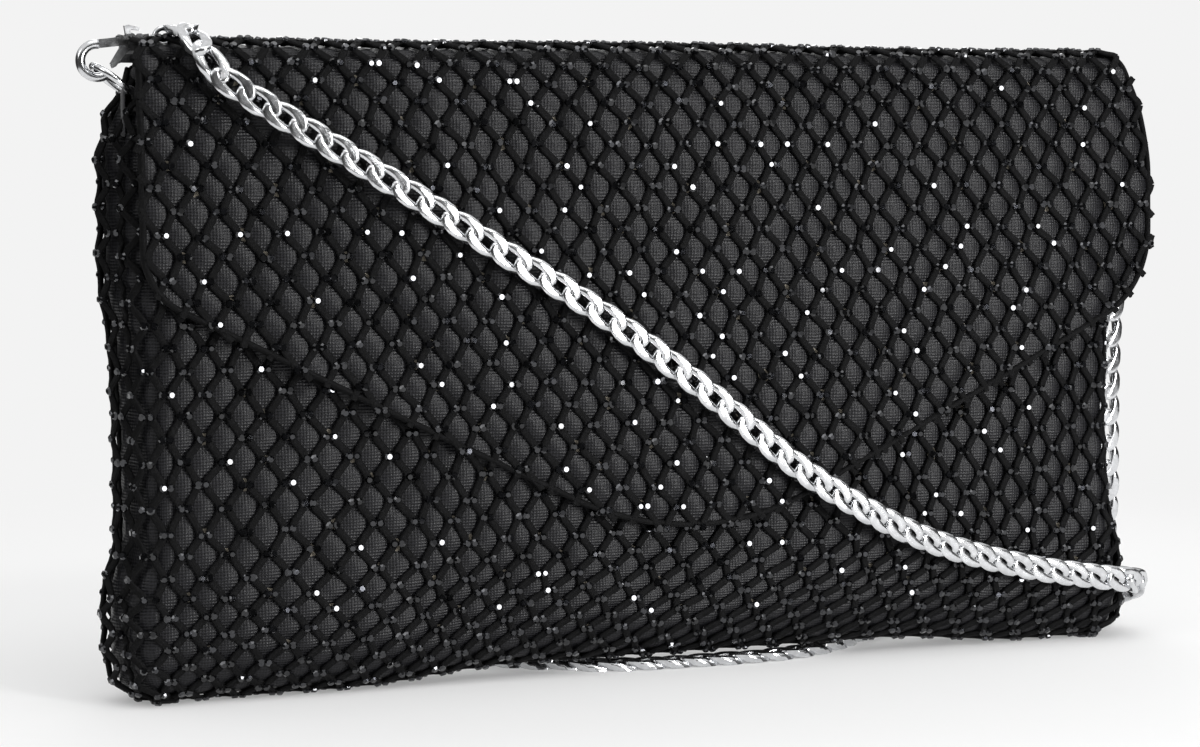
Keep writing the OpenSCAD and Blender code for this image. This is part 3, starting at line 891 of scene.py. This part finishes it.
def stones(net, a, b, width, tilt, draws):
    """Cut stones, as blocks of points: a girdle ring, then a table ring."""
    middle, across, up, out = surface_frames(net.surface, a, b, CORD_DEPTH + 0.35)
    lean = draws.normal(0, tilt, (2, len(a), 1))
    out = unit(out + lean[0] * across + lean[1] * up)
    across = unit(np.cross(up, out))
    up = np.cross(out, across)
    turn = np.arange(STONE_SIDES)[None] * TAU / STONE_SIDES + draws.uniform(0, TAU, (len(a), 1))
    size = width / 2 * draws.uniform(0.9, 1.08, (len(a), 1, 1))
    spoke = np.cos(turn)[..., None] * across[:, None] + np.sin(turn)[..., None] * up[:, None]
    rings = []
    for share, height in ((1.0, -0.25), (1.0, 0.15), (0.62, 0.6)):
        rings.append(middle[:, None] + size * share * spoke + height * out[:, None])
    return np.concatenate(rings, 1)


def net_pieces(net, columns, rows, where, names, sizes, materials, draws):
    """Cords with their knots, and stones, for the part of a net whose places pass a test."""
    row, column = np.meshgrid(np.arange(rows), np.arange(columns[0], columns[1]), indexing="ij")
    row, column = row.ravel(), column.ravel()
    shake = draws.normal(0, 0.22, (2, rows + 2, columns[1] - columns[0] + 3))

    def knot_at(c, r):
        a, b = net.knot(c, r)
        wrap = np.mod(c - columns[0], columns[1] - columns[0])
        return a + shake[0, r, wrap], b + shake[1, r, wrap]

    a, b = knot_at(column, row)
    inside = net.inside(a, b)
    section = doubled_section(sizes.cord_width / MM, sizes.cord_height / MM)
    blocks = []
    for step in (-1, 0):
        a1, b1 = knot_at(column + step + np.mod(row, 2), row + 1)
        here = where((a + a1) / 2, (b + b1) / 2)
        upward = inside & here
        downward = net.inside(a1, b1) & ~inside & here
        for ends, use in (((a, b, a1, b1), upward), ((a1, b1, a, b), downward)):
            if use.any():
                blocks.append(cords(net, [end[use] for end in ends], section))
    points, faces = repeat(np.concatenate(blocks), tube_faces(CORD_RINGS, len(section)))
    here = net.inside(a - KNOT_HALF, b) & net.inside(a + KNOT_HALF, b) & where(a, b)
    bar_points, bar_faces = repeat(knot_bars(net, a[here], b[here]), tube_faces(6, 6))
    faces += [[index + len(points) for index in face] for face in bar_faces]
    points = np.concatenate([points, bar_points])
    cord_piece = new_piece(names[0], points, faces, materials["matt black nylon cord"])
    stone_a = np.concatenate([a[here] - KNOT_HALF * 0.92, a[here] + KNOT_HALF * 0.92])
    stone_b = np.concatenate([b[here], b[here]])
    blocks = stones(net, stone_a, stone_b, sizes.stone_width / MM, sizes.stone_tilt, draws)
    table = np.arange(STONE_SIDES)[None] + 2 * STONE_SIDES
    points, faces = repeat(blocks, tube_faces(3, STONE_SIDES))
    faces += repeat(blocks, table)[1]
    stone_piece = new_piece(names[1], points, faces, materials["smoke black cut glass"], smooth=False)
    return cord_piece, stone_piece


# ---------- the chain ----------

# The chain's route in metres, as (point, the way its flat side faces). It starts at the left
# clasp, crosses the flap, turns the low right corner, runs under the base, lies slack behind the
# bag and climbs to the right clasp.
CHAIN_FRONT = [
    ((-0.1108, -0.0034, 0.1414), (0, -0.1, 1)),
    ((-0.1096, -0.0085, 0.1412), (0, -0.4, 0.9)),
    ((-0.1082, -0.0138, 0.1380), (0, -0.85, 0.5)),
    ((-0.1046, -0.0156, 0.1326), (0, -1, 0.1)),
    ((-0.0980, -0.0162, 0.1276), (0, -1, 0)),
    ((-0.0660, -0.0166, 0.1088), (0, -1, 0)),
    ((-0.0440, -0.0167, 0.0954), (0, -1, 0)),
    ((-0.0200, -0.0167, 0.0810), (0, -1, 0)),
    ((0.0040, -0.0166, 0.0640), (0, -1, 0)),
    ((0.0270, -0.0164, 0.0460), (0, -1, 0)),
    ((0.0450, -0.0160, 0.0350), (0, -1, 0)),
    ((0.0640, -0.0148, 0.0264), (0, -1, 0)),
    ((0.0880, -0.0136, 0.0196), (0, -1, 0)),
    ((0.1080, -0.0134, 0.0160), (0, -1, 0)),
    ((0.1170, -0.0126, 0.0146), (0.3, -1, 0)),
    ((0.1224, -0.0080, 0.0130), (0.8, -0.6, 0)),
]
CHAIN_BACK = [
    ((0.1224, -0.0080, 0.0130), (0.8, -0.6, 0)),
    ((0.1244, 0.0000, 0.0104), (1, 0, 0.2)),
    ((0.1234, 0.0100, 0.0070), (0.9, 0.2, 0.5)),
    ((0.1170, 0.0190, 0.0030), (0.3, 0.1, 1)),
    ((0.1000, 0.0215, 0.0012), (0, 0, 1)),
    ((0.0760, 0.0200, 0.0012), (0, 0, 1)),
    ((0.0580, 0.0130, 0.0012), (0, 0, 1)),
    ((0.0460, 0.0030, 0.0012), (0, 0, 1)),
    ((0.0300, -0.0036, 0.0012), (0, 0, 1)),
    ((0.0080, -0.0044, 0.0012), (0, 0, 1)),
    ((-0.0120, -0.0020, 0.0012), (0, 0, 1)),
    ((-0.0270, 0.0060, 0.0012), (0, 0, 1)),
    ((-0.0400, 0.0170, 0.0012), (0, 0, 1)),
    ((-0.0600, 0.0220, 0.0012), (0, 0, 1)),
    ((-0.0940, 0.0230, 0.0012), (0, 0, 1)),
    ((-0.1080, 0.0250, 0.0012), (0, 0, 1)),
    ((-0.1130, 0.0310, 0.0012), (0, 0, 1)),
    ((-0.1060, 0.0370, 0.0012), (0, 0, 1)),
    ((-0.0860, 0.0380, 0.0012), (0, 0, 1)),
    ((-0.0400, 0.0370, 0.0012), (0, 0, 1)),
    ((0.0100, 0.0380, 0.0012), (0, 0, 1)),
    ((0.0600, 0.0360, 0.0012), (0, 0, 1)),
    ((0.1000, 0.0370, 0.0012), (0, 0, 1)),
    ((0.1180, 0.0340, 0.0012), (0, 0, 1)),
    ((0.1270, 0.0260, 0.0034), (0.2, 0.3, 1)),
    ((0.1276, 0.0180, 0.0120), (0, 0.9, 0.5)),
    ((0.1250, 0.0110, 0.0300), (0, 1, 0.2)),
    ((0.1230, 0.0080, 0.0500), (0, 1, 0)),
    ((0.1230, 0.0070, 0.0760), (0, 1, 0)),
    ((0.1254, 0.0056, 0.0960), (0, 1, 0)),
    ((0.1266, 0.0052, 0.1034), (0, 1, 0)),
]
CORD_PIECES = ["ring", "clasp", "trigger", "pin", "spring", "jump_ring"]


def smooth_route(route, steps=14):
    """Points along a smooth curve through a route in millimetres, and the ways that it faces."""
    table = np.array([[*(np.array(point) / MM), *face] for point, face in route])
    ends = np.concatenate([table[:1], table, table[-1:]])
    t = np.linspace(0, 1, steps, endpoint=False)[:, None]
    legs = []
    for p0, p1, p2, p3 in zip(ends, ends[1:], ends[2:], ends[3:]):
        curve = 2 * p1 + (p2 - p0) * t + (2 * p0 - 5 * p1 + 4 * p2 - p3) * t**2
        legs.append((curve + (3 * p1 - p0 - 3 * p2 + p3) * t**3) / 2)
    return np.concatenate(legs + [table[-1:]])


def curb_link(sizes):
    """One link in its own frame, as points (along, across, out), and its faces."""
    rings, sides = 30, 10
    wire = sizes.wire / MM / 2
    half_long = sizes.pitch / MM / 2 + wire * 0.95
    half_wide = sizes.width / MM / 2 - wire
    face = sizes.thickness / MM / 2
    rise = 0.95  # how far each side of the link twists up and down
    turn = np.arange(rings) * TAU / rings
    path = np.stack([half_long * np.cos(turn), half_wide * np.sin(turn), rise * np.sin(2 * turn)], -1)
    ahead = unit(np.roll(path, -1, 0) - np.roll(path, 1, 0))
    outward = np.stack([np.cos(turn) * half_wide, np.sin(turn) * half_long, turn * 0], -1)
    outward = unit(outward - (outward * ahead).sum(1)[:, None] * ahead)
    lift = np.cross(ahead, outward)
    around = np.arange(sides) * TAU / sides
    ring = path[:, None] + wire * np.cos(around)[None, :, None] * outward[:, None]
    ring = ring + wire * 1.1 * np.sin(around)[None, :, None] * lift[:, None]
    ring[..., 2] = face * np.tanh(2.0 * ring[..., 2] / face)
    return ring.reshape(-1, 3), loop_faces(rings, sides)


def link_places(reach, sizes):
    """Distances of the links' middles along the chain. They crowd where it lies slack."""
    pitch, eased_pitch = sizes.pitch / MM, sizes.eased_pitch / MM
    slack_from, slack_to, slack_end = 150.0, 205.0, 330.0
    places = [pitch * 0.5]
    while places[-1] < reach - pitch * 0.4:
        s = places[-1]
        share = float(eased((s - slack_from) / (slack_to - slack_from)) * eased((slack_end - s) / 40))
        places.append(s + pitch + (eased_pitch - pitch) * share)
    return np.array(places)


class BAG_OT_chain(bpy.types.Operator):
    """Link the curb chain along its route, from the left clasp round to the right one"""

    bl_idname = "evening_bag.chain"
    bl_label = "Chain"

    def execute(self, context):
        sizes = context.scene.bag_chain
        route = smooth_route(CHAIN_FRONT + CHAIN_BACK[1:])
        path, facing = route[:, :3], route[:, 3:]
        reach = walked(path)
        along, _, out = sweep_frames(path, facing)
        places = link_places(reach[-1], sizes)
        spots, ahead, up = (evenly(rows, reach, places) for rows in (path, along, out))
        ahead = unit(ahead)
        up = unit(up - (up * ahead).sum(1)[:, None] * ahead)
        sideways = np.cross(up, ahead)
        roll = np.random.default_rng(11).normal(0, 0.035, len(places))[:, None]
        turned_up = up * np.cos(roll) + sideways * np.sin(roll)
        turned_sideways = sideways * np.cos(roll) - up * np.sin(roll)
        link, faces = curb_link(sizes)
        blocks = spots[:, None] + link @ np.stack([ahead, turned_sideways, turned_up], 1)
        points, quads = repeat(blocks, faces)
        piece = new_piece("chain", points, quads, finishes(context)["polished nickel plate"])
        piece.data.set_sharp_from_angle(angle=math.radians(60))
        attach(piece, "bag")
        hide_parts("chain_front", "chain_back")
        return {"FINISHED"}


class BAG_OT_body(bpy.types.Operator):
    """Loft the body's satin, boards and lining, and bind its mouth"""

    bl_idname = "evening_bag.body"
    bl_label = "Body"

    def execute(self, context):
        materials = finishes(context)
        net, _ = body_net(context.scene.bag_net)
        satin = materials["ribbed black satin"]
        lining = materials["black polyester lining"]
        board = materials["grey pressed board"]
        a = np.linspace(0, GIRTH, 370)[None]
        share = np.concatenate([[0], np.linspace(0.004, 1, 104)])[:, None]
        across, along = np.broadcast_arrays(a, share * rim_reach(a))
        puffed = soft_surface(wall, net)
        skin = sheet_piece("body_satin", puffed, across, along, *SATIN_FACES, satin)
        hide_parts("front_net", "front_satin", "back_net", "back_satin")
        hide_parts("left_net", "left_gusset", "right_net", "right_gusset")
        coarse_a = np.linspace(0, GIRTH, 200)[None]
        coarse_b = np.linspace(0.0, 1, 40)[:, None]
        across, along = np.broadcast_arrays(coarse_a, coarse_b * (rim_reach(coarse_a) - 0.6))
        inner = sheet_piece("body_lining", wall, across, along, *LINING_FACES, lining)
        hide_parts("front_lining", "back_lining", "left_lining", "right_lining")
        pieces = [skin, inner, *self.boards(board), *self.base(satin, board, lining)]
        for piece in (*pieces, self.binding(lining), self.pocket(lining)):
            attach(piece, "bag")
        return {"FINISHED"}

    def boards(self, board):
        """The stiff boards inside the front and back panels."""
        made = []
        round_body = np.linspace(0, GIRTH, 2000)
        x, _, _, ny = round_plan(round_body)
        low = UNDER_ARC * 0.6
        b = (low + np.linspace(0, 1, 30) * (FOLD_Z - 12 - low))[:, None]
        for name, facing in (("front_board", -1), ("back_board", 1)):
            flat = round_body[(ny * facing > 0.999) & (np.abs(x - BODY_MID) < FOLD_HALF)]
            across, along = np.broadcast_arrays(np.linspace(flat.min(), flat.max(), 90)[None], b)
            piece = sheet_piece(name + "_sheet", wall, across, along, *BOARD_FACES, board)
            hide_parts(name)
            made.append(piece)
        return made

    def base(self, satin, board, lining):
        """The flat part of the base inside the rounded edge, one sheet for each layer."""
        layers = (
            ("base_satin_sheet", NET_T, 0.3, satin, ["base_net", "base_satin"], "satin"),
            ("base_board_sheet", NET_T + SATIN_T, BOARD_T, board, ["base_board"], "board"),
            ("base_lining_sheet", WALL_T - LINING_T, LINING_T, lining, ["base_lining"], "lining"),
        )
        # A grid round the base, from its middle line out to where the wall takes over
        places = np.broadcast_arrays(np.linspace(0, GIRTH, 240)[None], np.linspace(0, 1, 12)[:, None])
        made = []
        for name, up, thick, material, nodes, slot in layers:
            piece = sheet_piece(name, self.base_plane, *places, up, up + thick, material)
            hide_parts(*nodes)
            made.append(piece)
        return made

    @staticmethod
    def base_plane(a, share, up):
        """A point of the base, between its middle line and its edge."""
        x, y, nx, ny = round_plan(a)
        edge_x, edge_y = x - nx * under_reach(ny), y - ny * under_reach(ny)
        core_x = np.clip(edge_x, BODY_LEFT + 14, BODY_RIGHT - 14)
        px = core_x + (edge_x - core_x) * share
        py = MID_Y + (edge_y - MID_Y) * share
        return join(px, py, lift_at(px) + up)

    def binding(self, cloth):
        """A folded strip that binds the mouth, from one end of the back fold round to the other."""
        a = np.linspace(0, GIRTH, 1500)
        x, y, _, _ = round_plan(a)
        a = a[(y <= BACK_Y - 1.5) | (np.abs(x) >= FOLD_HALF - 2)]
        path = wall(a, rim_reach(a) - 0.9, -WALL_T * 0.6)
        section = round_section(1.5, 1.1, 14)
        facing = np.tile([0.0, 0.0, 1.0], (len(path), 1))
        cut = int(np.argmax(np.linalg.norm(np.diff(path, axis=0), axis=1)))
        if np.linalg.norm(path[cut + 1] - path[cut]) > 20:
            path = np.concatenate([path[cut + 1 :], path[: cut + 1]])
        piece = swept_piece("mouth_binding_strip", path[::2], facing[::2], section, cloth)
        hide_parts("mouth_binding")
        return piece

    def pocket(self, cloth):
        """The slip pocket, a soft patch that bellies away from the back lining."""
        x = np.linspace(POCKET_LOW[0], POCKET_HIGH[0], 60)[None]
        z = np.linspace(POCKET_LOW[2], POCKET_HIGH[2], 30)[:, None]
        across, along = np.broadcast_arrays(x, z)
        middle = (POCKET_LOW[0] + POCKET_HIGH[0]) / 2
        half = (POCKET_HIGH[0] - POCKET_LOW[0]) / 2
        rest_y = BACK_Y - WALL_T - 0.8

        def patch(px, pz, depth):
            sides = np.sqrt(np.clip(1 - np.abs((px - middle) / half) ** 6, 0, 1))
            bottom = eased((pz - POCKET_LOW[2]) / 9)
            belly = (rest_y - POCKET_LOW[1] - LEAN * 0.3) * sides * bottom
            ripple = 0.25 * np.sin(px / 9) * bottom * sides
            return join(px, rest_y - lean_at(pz) - belly * 0.9 + ripple + depth, pz)

        piece = sheet_piece("slip_pocket_patch", patch, across, along, 0.0, 0.5, cloth)
        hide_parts("slip_pocket")
        return piece


class BAG_OT_cover(bpy.types.Operator):
    """Lay the satin, board, lining and hem of the folds, the spine and the flap"""

    bl_idname = "evening_bag.cover"
    bl_label = "Cover"

    def execute(self, context):
        materials = finishes(context)
        net = cover_net(context.scene.bag_net)
        puffed = soft_surface(cover, net)
        satin = materials["ribbed black satin"]
        lining = materials["black polyester lining"]
        board = materials["grey pressed board"]
        flap = cover_grid(0.8, C_SPINE, C_TIP, 200, 130)
        outer = sheet_piece("flap_satin_sheet", puffed, *flap, *SATIN_FACES, satin)
        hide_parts("flap_net", "flap_satin", "spine_net", "spine_satin", "front_fold")
        flap = cover_grid(1.0, C_SPINE, C_TIP, 90, 70)
        inner = sheet_piece("flap_lining_sheet", cover, *flap, *LINING_FACES, lining)
        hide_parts("flap_lining", "spine_lining")
        flap = cover_grid(5.0, C_FLAP + 2, C_TIP, 60, 50)
        stiff = sheet_piece("flap_board_sheet", cover, *flap, *BOARD_FACES, board)
        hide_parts("flap_board")
        spine = cover_grid(4.0, C_SPINE + 0.5, C_FRONT - 0.5, 50, 6)
        top = sheet_piece("spine_board_sheet", cover, *spine, *BOARD_FACES, board)
        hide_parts("spine_board")
        hem = self.hem(materials["matt black nylon cord"])
        back = cover_grid(0.8, 0.0, C_SPINE, 200, 10)
        fold = sheet_piece("back_fold_satin", puffed, *back, *SATIN_FACES, satin)
        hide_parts("back_fold")
        under = cover_grid(1.0, 0.0, C_SPINE, 90, 8)
        fold_lining = sheet_piece("back_fold_lining", cover, *under, *LINING_FACES, lining)
        for piece in (outer, inner, hem):
            bend_front(piece)
        for piece in (fold, fold_lining):
            bend_back(piece)
        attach(top, "flap_top")
        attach(stiff, "flap")
        return {"FINISHED"}

    def hem(self, cloth):
        """The rolled edge that runs down both sides of the flap and round its tip."""
        left_of, right_of, last = flap_sides(1.0)
        c = C_SPINE + 1 + (last - C_SPINE - 1) * np.sin(np.linspace(0, math.pi / 2, 150))
        x = np.concatenate([left_of(c), right_of(c)[::-1][1:]])
        c = np.concatenate([c, c[::-1][1:]])
        ripple = 0.12 * np.sin(x / 1.9) + 0.1 * np.sin(c / 2.3 + x / 5)
        path = cover(x, c, -WALL_T / 2 + ripple)
        reach = walked(path)
        even = np.linspace(0, reach[-1], 420)
        path = evenly(path, reach, even)
        out = surface_frames(cover, np.interp(even, reach, x), np.interp(even, reach, c), 0.0)[3]
        piece = swept_piece("flap_hem_roll", path, -out, round_section(0.7, WALL_T / 2 - 0.35, 12), cloth)
        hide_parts("flap_hem")
        return piece


def bend_front(piece):
    """Bakes the placement of a piece that lies over the front fold, from the spine to the flap, into its
    mesh.
    """
    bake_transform(piece)


def bend_back(piece):
    """Bakes the placement of a piece that lies over the back fold, from the back panel to the spine, into
    its mesh.
    """
    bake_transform(piece)


class BAG_OT_net(bpy.types.Operator):
    """Tie the net over the satin, and set its stones"""

    bl_idname = "evening_bag.net"
    bl_label = "Net and stones"

    def execute(self, context):
        sizes = context.scene.bag_net
        materials = finishes(context)
        net, columns = body_net(sizes)
        parts = {
            "front": lambda a, b: round_plan(a)[3] < -0.7,
            "back": lambda a, b: round_plan(a)[3] > 0.7,
            "side": lambda a, b: np.abs(round_plan(a)[3]) <= 0.7,
        }
        for name, where in parts.items():
            draws = np.random.default_rng(5)
            names = (f"{name}_net_cords", f"{name}_net_stones")
            for piece in net_pieces(net, (0, columns), BODY_ROWS, where, names, sizes, materials, draws):
                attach(piece, "bag")
        flap = cover_net(sizes)
        folds = (
            (FLAP_ROWS, lambda x, c: c >= C_SPINE, ("flap_net_cords", "flap_net_stones"), bend_front),
            (FOLD_ROWS, lambda x, c: c < C_SPINE, ("back_fold_cords", "back_fold_stones"), bend_back),
        )
        for rows, where, names, bend in folds:
            draws = np.random.default_rng(8)
            for piece in net_pieces(flap, FLAP_COLUMNS, rows, where, names, sizes, materials, draws):
                bend(piece)
        return {"FINISHED"}


class BAG_OT_fittings(bpy.types.Operator):
    """Finish the clasps, rings and magnets, and sew the loops that hold the rings"""

    bl_idname = "evening_bag.fittings"
    bl_label = "Fittings"

    def execute(self, context):
        materials = finishes(context)
        finish = {"front_magnet": "dull nickel magnet", "flap_magnet": "dull nickel magnet"}
        for side in ("left", "right"):
            for part in CORD_PIECES:
                finish[f"{side}_{part}"] = "polished nickel plate"
            finish[f"{side}_trigger"] = "tumbled nickel plate"
            finish[f"{side}_spring"] = "drawn spring wire"
        for node, name in finish.items():
            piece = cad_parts[node]
            if not piece.material_slots:
                raise RuntimeError(f"{node} has no material slot")
            for place in piece.material_slots:
                place.material = materials[name]
        for side in ("left", "right"):
            self.loop(side, materials["black polyester lining"])
        return {"FINISHED"}

    def loop(self, side, cloth):
        """A flat fabric loop that passes through a ring and is sewn down inside the gusset."""
        low, high = span(f"{side}_tab")
        inner = 1.25  # half the gap between the loop's two legs
        leg = 9.0
        centre = np.array([(low[0] + high[0]) / 2, (low[1] + high[1]) / 2, high[2] - 1.9])
        turn = np.linspace(0, math.pi, 14)
        down = np.linspace(0, 1, 8)[1:]
        left = join(-inner, 0.0, -down * leg)
        right = left[::-1] + [2 * inner, 0, 0]
        facing = np.concatenate([right, join(inner * np.cos(turn), 0.0, inner * np.sin(turn)), left])
        path = centre + facing
        facing[:, 2] = np.maximum(facing[:, 2], 0)
        piece = swept_piece(f"{side}_loop", path, facing, round_section(1.7, 0.32, 12), cloth)
        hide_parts(f"{side}_tab")
        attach(piece, "bag")


FLOOR_GLOW = 0.3  # share of the floor's brightness that it gives off by itself near the bag
FLOOR_TONE = 0.66  # how much light the floor near the bag returns


class BAG_OT_stage(bpy.types.Operator):
    """Set the camera, the pale floor and the soft studio lights"""

    bl_idname = "evening_bag.stage"
    bl_label = "Stage"

    def execute(self, context):
        scene = context.scene
        self.camera(scene)
        self.floor(scene)
        self.lights(scene)
        scene.view_settings.view_transform = "Standard"
        self.room(scene)
        return {"FINISHED"}

    def room(self, scene):
        """A dim room with a bright ceiling, which the metal mirrors."""
        world = bpy.data.worlds.new("studio")
        scene.world = world
        world.use_nodes = True
        tree = world.node_tree
        place = add_node(tree, "ShaderNodeTexCoord")
        split = add_node(tree, "ShaderNodeSeparateXYZ", None, {"Vector": place.outputs["Generated"]})
        glow = add_node(
            tree, "ShaderNodeMapRange", {"interpolation_type": "SMOOTHSTEP"},
            {"Value": split.outputs["Z"], "From Min": 0.2, "From Max": 0.6, "To Min": 0.04, "To Max": 0.85},
        )
        tree.links.new(glow.outputs["Result"], tree.nodes["Background"].inputs["Strength"])
        tree.nodes["Background"].inputs["Color"].default_value = (1, 1, 1, 1)

    def camera(self, scene):
        """A long lens a little above the bag, turned to the right."""
        data = bpy.data.cameras.new("camera")
        data.lens = 85.65
        data.sensor_width = 36.0
        data.clip_start = 0.01
        camera = bpy.data.objects.new("camera", data)
        scene.collection.objects.link(camera)
        camera.location = (-0.2524, -0.5902, 0.1169)
        camera.rotation_euler = (math.radians(85.5), 0.0, math.radians(-22.0))
        scene.camera = camera

    def floor(self, scene):
        """A pale round floor, and a pale sweep round it that only the camera sees."""
        colour = scene.bag_colours.floor
        reach, around = 420.0, 96
        sweep, top = 4000.0, 9000.0
        turn = np.arange(around + 1) * TAU / around
        near = np.linspace(0.0, reach, 10)
        rise = np.linspace(0, math.pi / 2, 12)
        out = np.append(reach + sweep * np.sin(rise), reach + sweep)
        up = np.append(sweep * (1 - np.cos(rise)), top)
        parts = (
            ("floor", near, near * 0, self.painted("pale painted floor", colour, reach * MM)),
            ("backdrop", out, up, self.painted("pale paper sweep", colour, 0.1)),
        )
        for name, radius, height, material in parts:
            x, y = radius[:, None] * np.cos(turn), radius[:, None] * np.sin(turn)
            points = join(x, y, height[:, None]).reshape(-1, 3)
            piece = new_piece(name, points, grid_faces(len(radius), around + 1).tolist(), material)
            if name == "backdrop":
                piece.visible_diffuse = False
                piece.visible_glossy = False
                piece.visible_shadow = False

    def painted(self, name, colour, reach):
        """Matt pale paint. It glows a little, more so far out, so that it looks evenly lit."""
        material, tree = start_material(name)
        place = add_node(tree, "ShaderNodeTexCoord").outputs["Object"]
        far = add_node(tree, "ShaderNodeVectorMath", {"operation": "LENGTH"}, {0: place}).outputs["Value"]
        spread = add_node(
            tree, "ShaderNodeMapRange", {"interpolation_type": "SMOOTHSTEP"},
            {"Value": far, "From Min": reach * 0.42, "From Max": reach * 0.95},
        ).outputs["Result"]
        glow = add_node(
            tree, "ShaderNodeMapRange", None, {"Value": spread, "To Min": FLOOR_GLOW, "To Max": 1.0}
        )
        look = {
            "Roughness": 0.9,
            "Specular IOR Level": 0.0,
            "Emission Color": rgba(colour),
            "Emission Strength": glow.outputs["Result"],
        }
        end_material(tree, spread, ((0.0, rgba(colour, FLOOR_TONE)), (1.0, rgba(colour, 0.0))), None, look)
        return material

    def lights(self, scene):
        """A broad soft box facing the bag, one above and small ones that the stones pick up."""
        target = Vector((0.0, 0.0, 0.07))
        boxes = (
            ("front box", (0.26, -0.55, 0.1), 0.18, 2.3),
            ("top box", (0.1, -0.35, 1.3), 1.0, 5.0),
            ("left box", (-1.2, -0.5, 0.7), 0.5, 2.0),
            ("spark box", (0.5, -1.0, 0.9), 0.16, 3.0),
            ("back box", (0.4, 1.3, 0.9), 0.8, 4.0),
        )
        for name, spot, size, power in boxes:
            data = bpy.data.lights.new(name, "AREA")
            data.size = size
            data.energy = power
            light = bpy.data.objects.new(name, data)
            scene.collection.objects.link(light)
            light.visible_camera = False
            light.location = spot
            light.rotation_euler = (target - Vector(spot)).to_track_quat("-Z", "Y").to_euler()


class BAG_PT_panel(bpy.types.Panel):
    """Sizes, colours and steps of the evening bag"""

    bl_label = "Evening Bag"
    bl_idname = "BAG_PT_panel"
    bl_space_type = "VIEW_3D"
    bl_region_type = "UI"
    bl_category = "Evening Bag"

    def draw(self, context):
        for group in (context.scene.bag_net, context.scene.bag_chain, context.scene.bag_colours):
            box = self.layout.box()
            for name in group.__annotations__:
                box.prop(group, name)
        for step in STEPS:
            self.layout.operator(step.bl_idname)


STEPS = (BAG_OT_stage, BAG_OT_chain, BAG_OT_body, BAG_OT_cover, BAG_OT_net, BAG_OT_fittings)
CLASSES = (NetSizes, ChainSizes, BagColours, *STEPS, BAG_PT_panel)


def register():
    for item in CLASSES:
        bpy.utils.register_class(item)
    bpy.types.Scene.bag_net = bpy.props.PointerProperty(type=NetSizes)
    bpy.types.Scene.bag_chain = bpy.props.PointerProperty(type=ChainSizes)
    bpy.types.Scene.bag_colours = bpy.props.PointerProperty(type=BagColours)


def unregister():
    for name in ("bag_net", "bag_chain", "bag_colours"):
        delattr(bpy.types.Scene, name)
    for item in reversed(CLASSES):
        bpy.utils.unregister_class(item)


def main():
    register()
    bpy.ops.evening_bag.stage()
    bpy.ops.evening_bag.chain()
    bpy.ops.evening_bag.body()
    bpy.ops.evening_bag.cover()
    bpy.ops.evening_bag.net()
    bpy.ops.evening_bag.fittings()


if __name__ == "__main__":
    main()
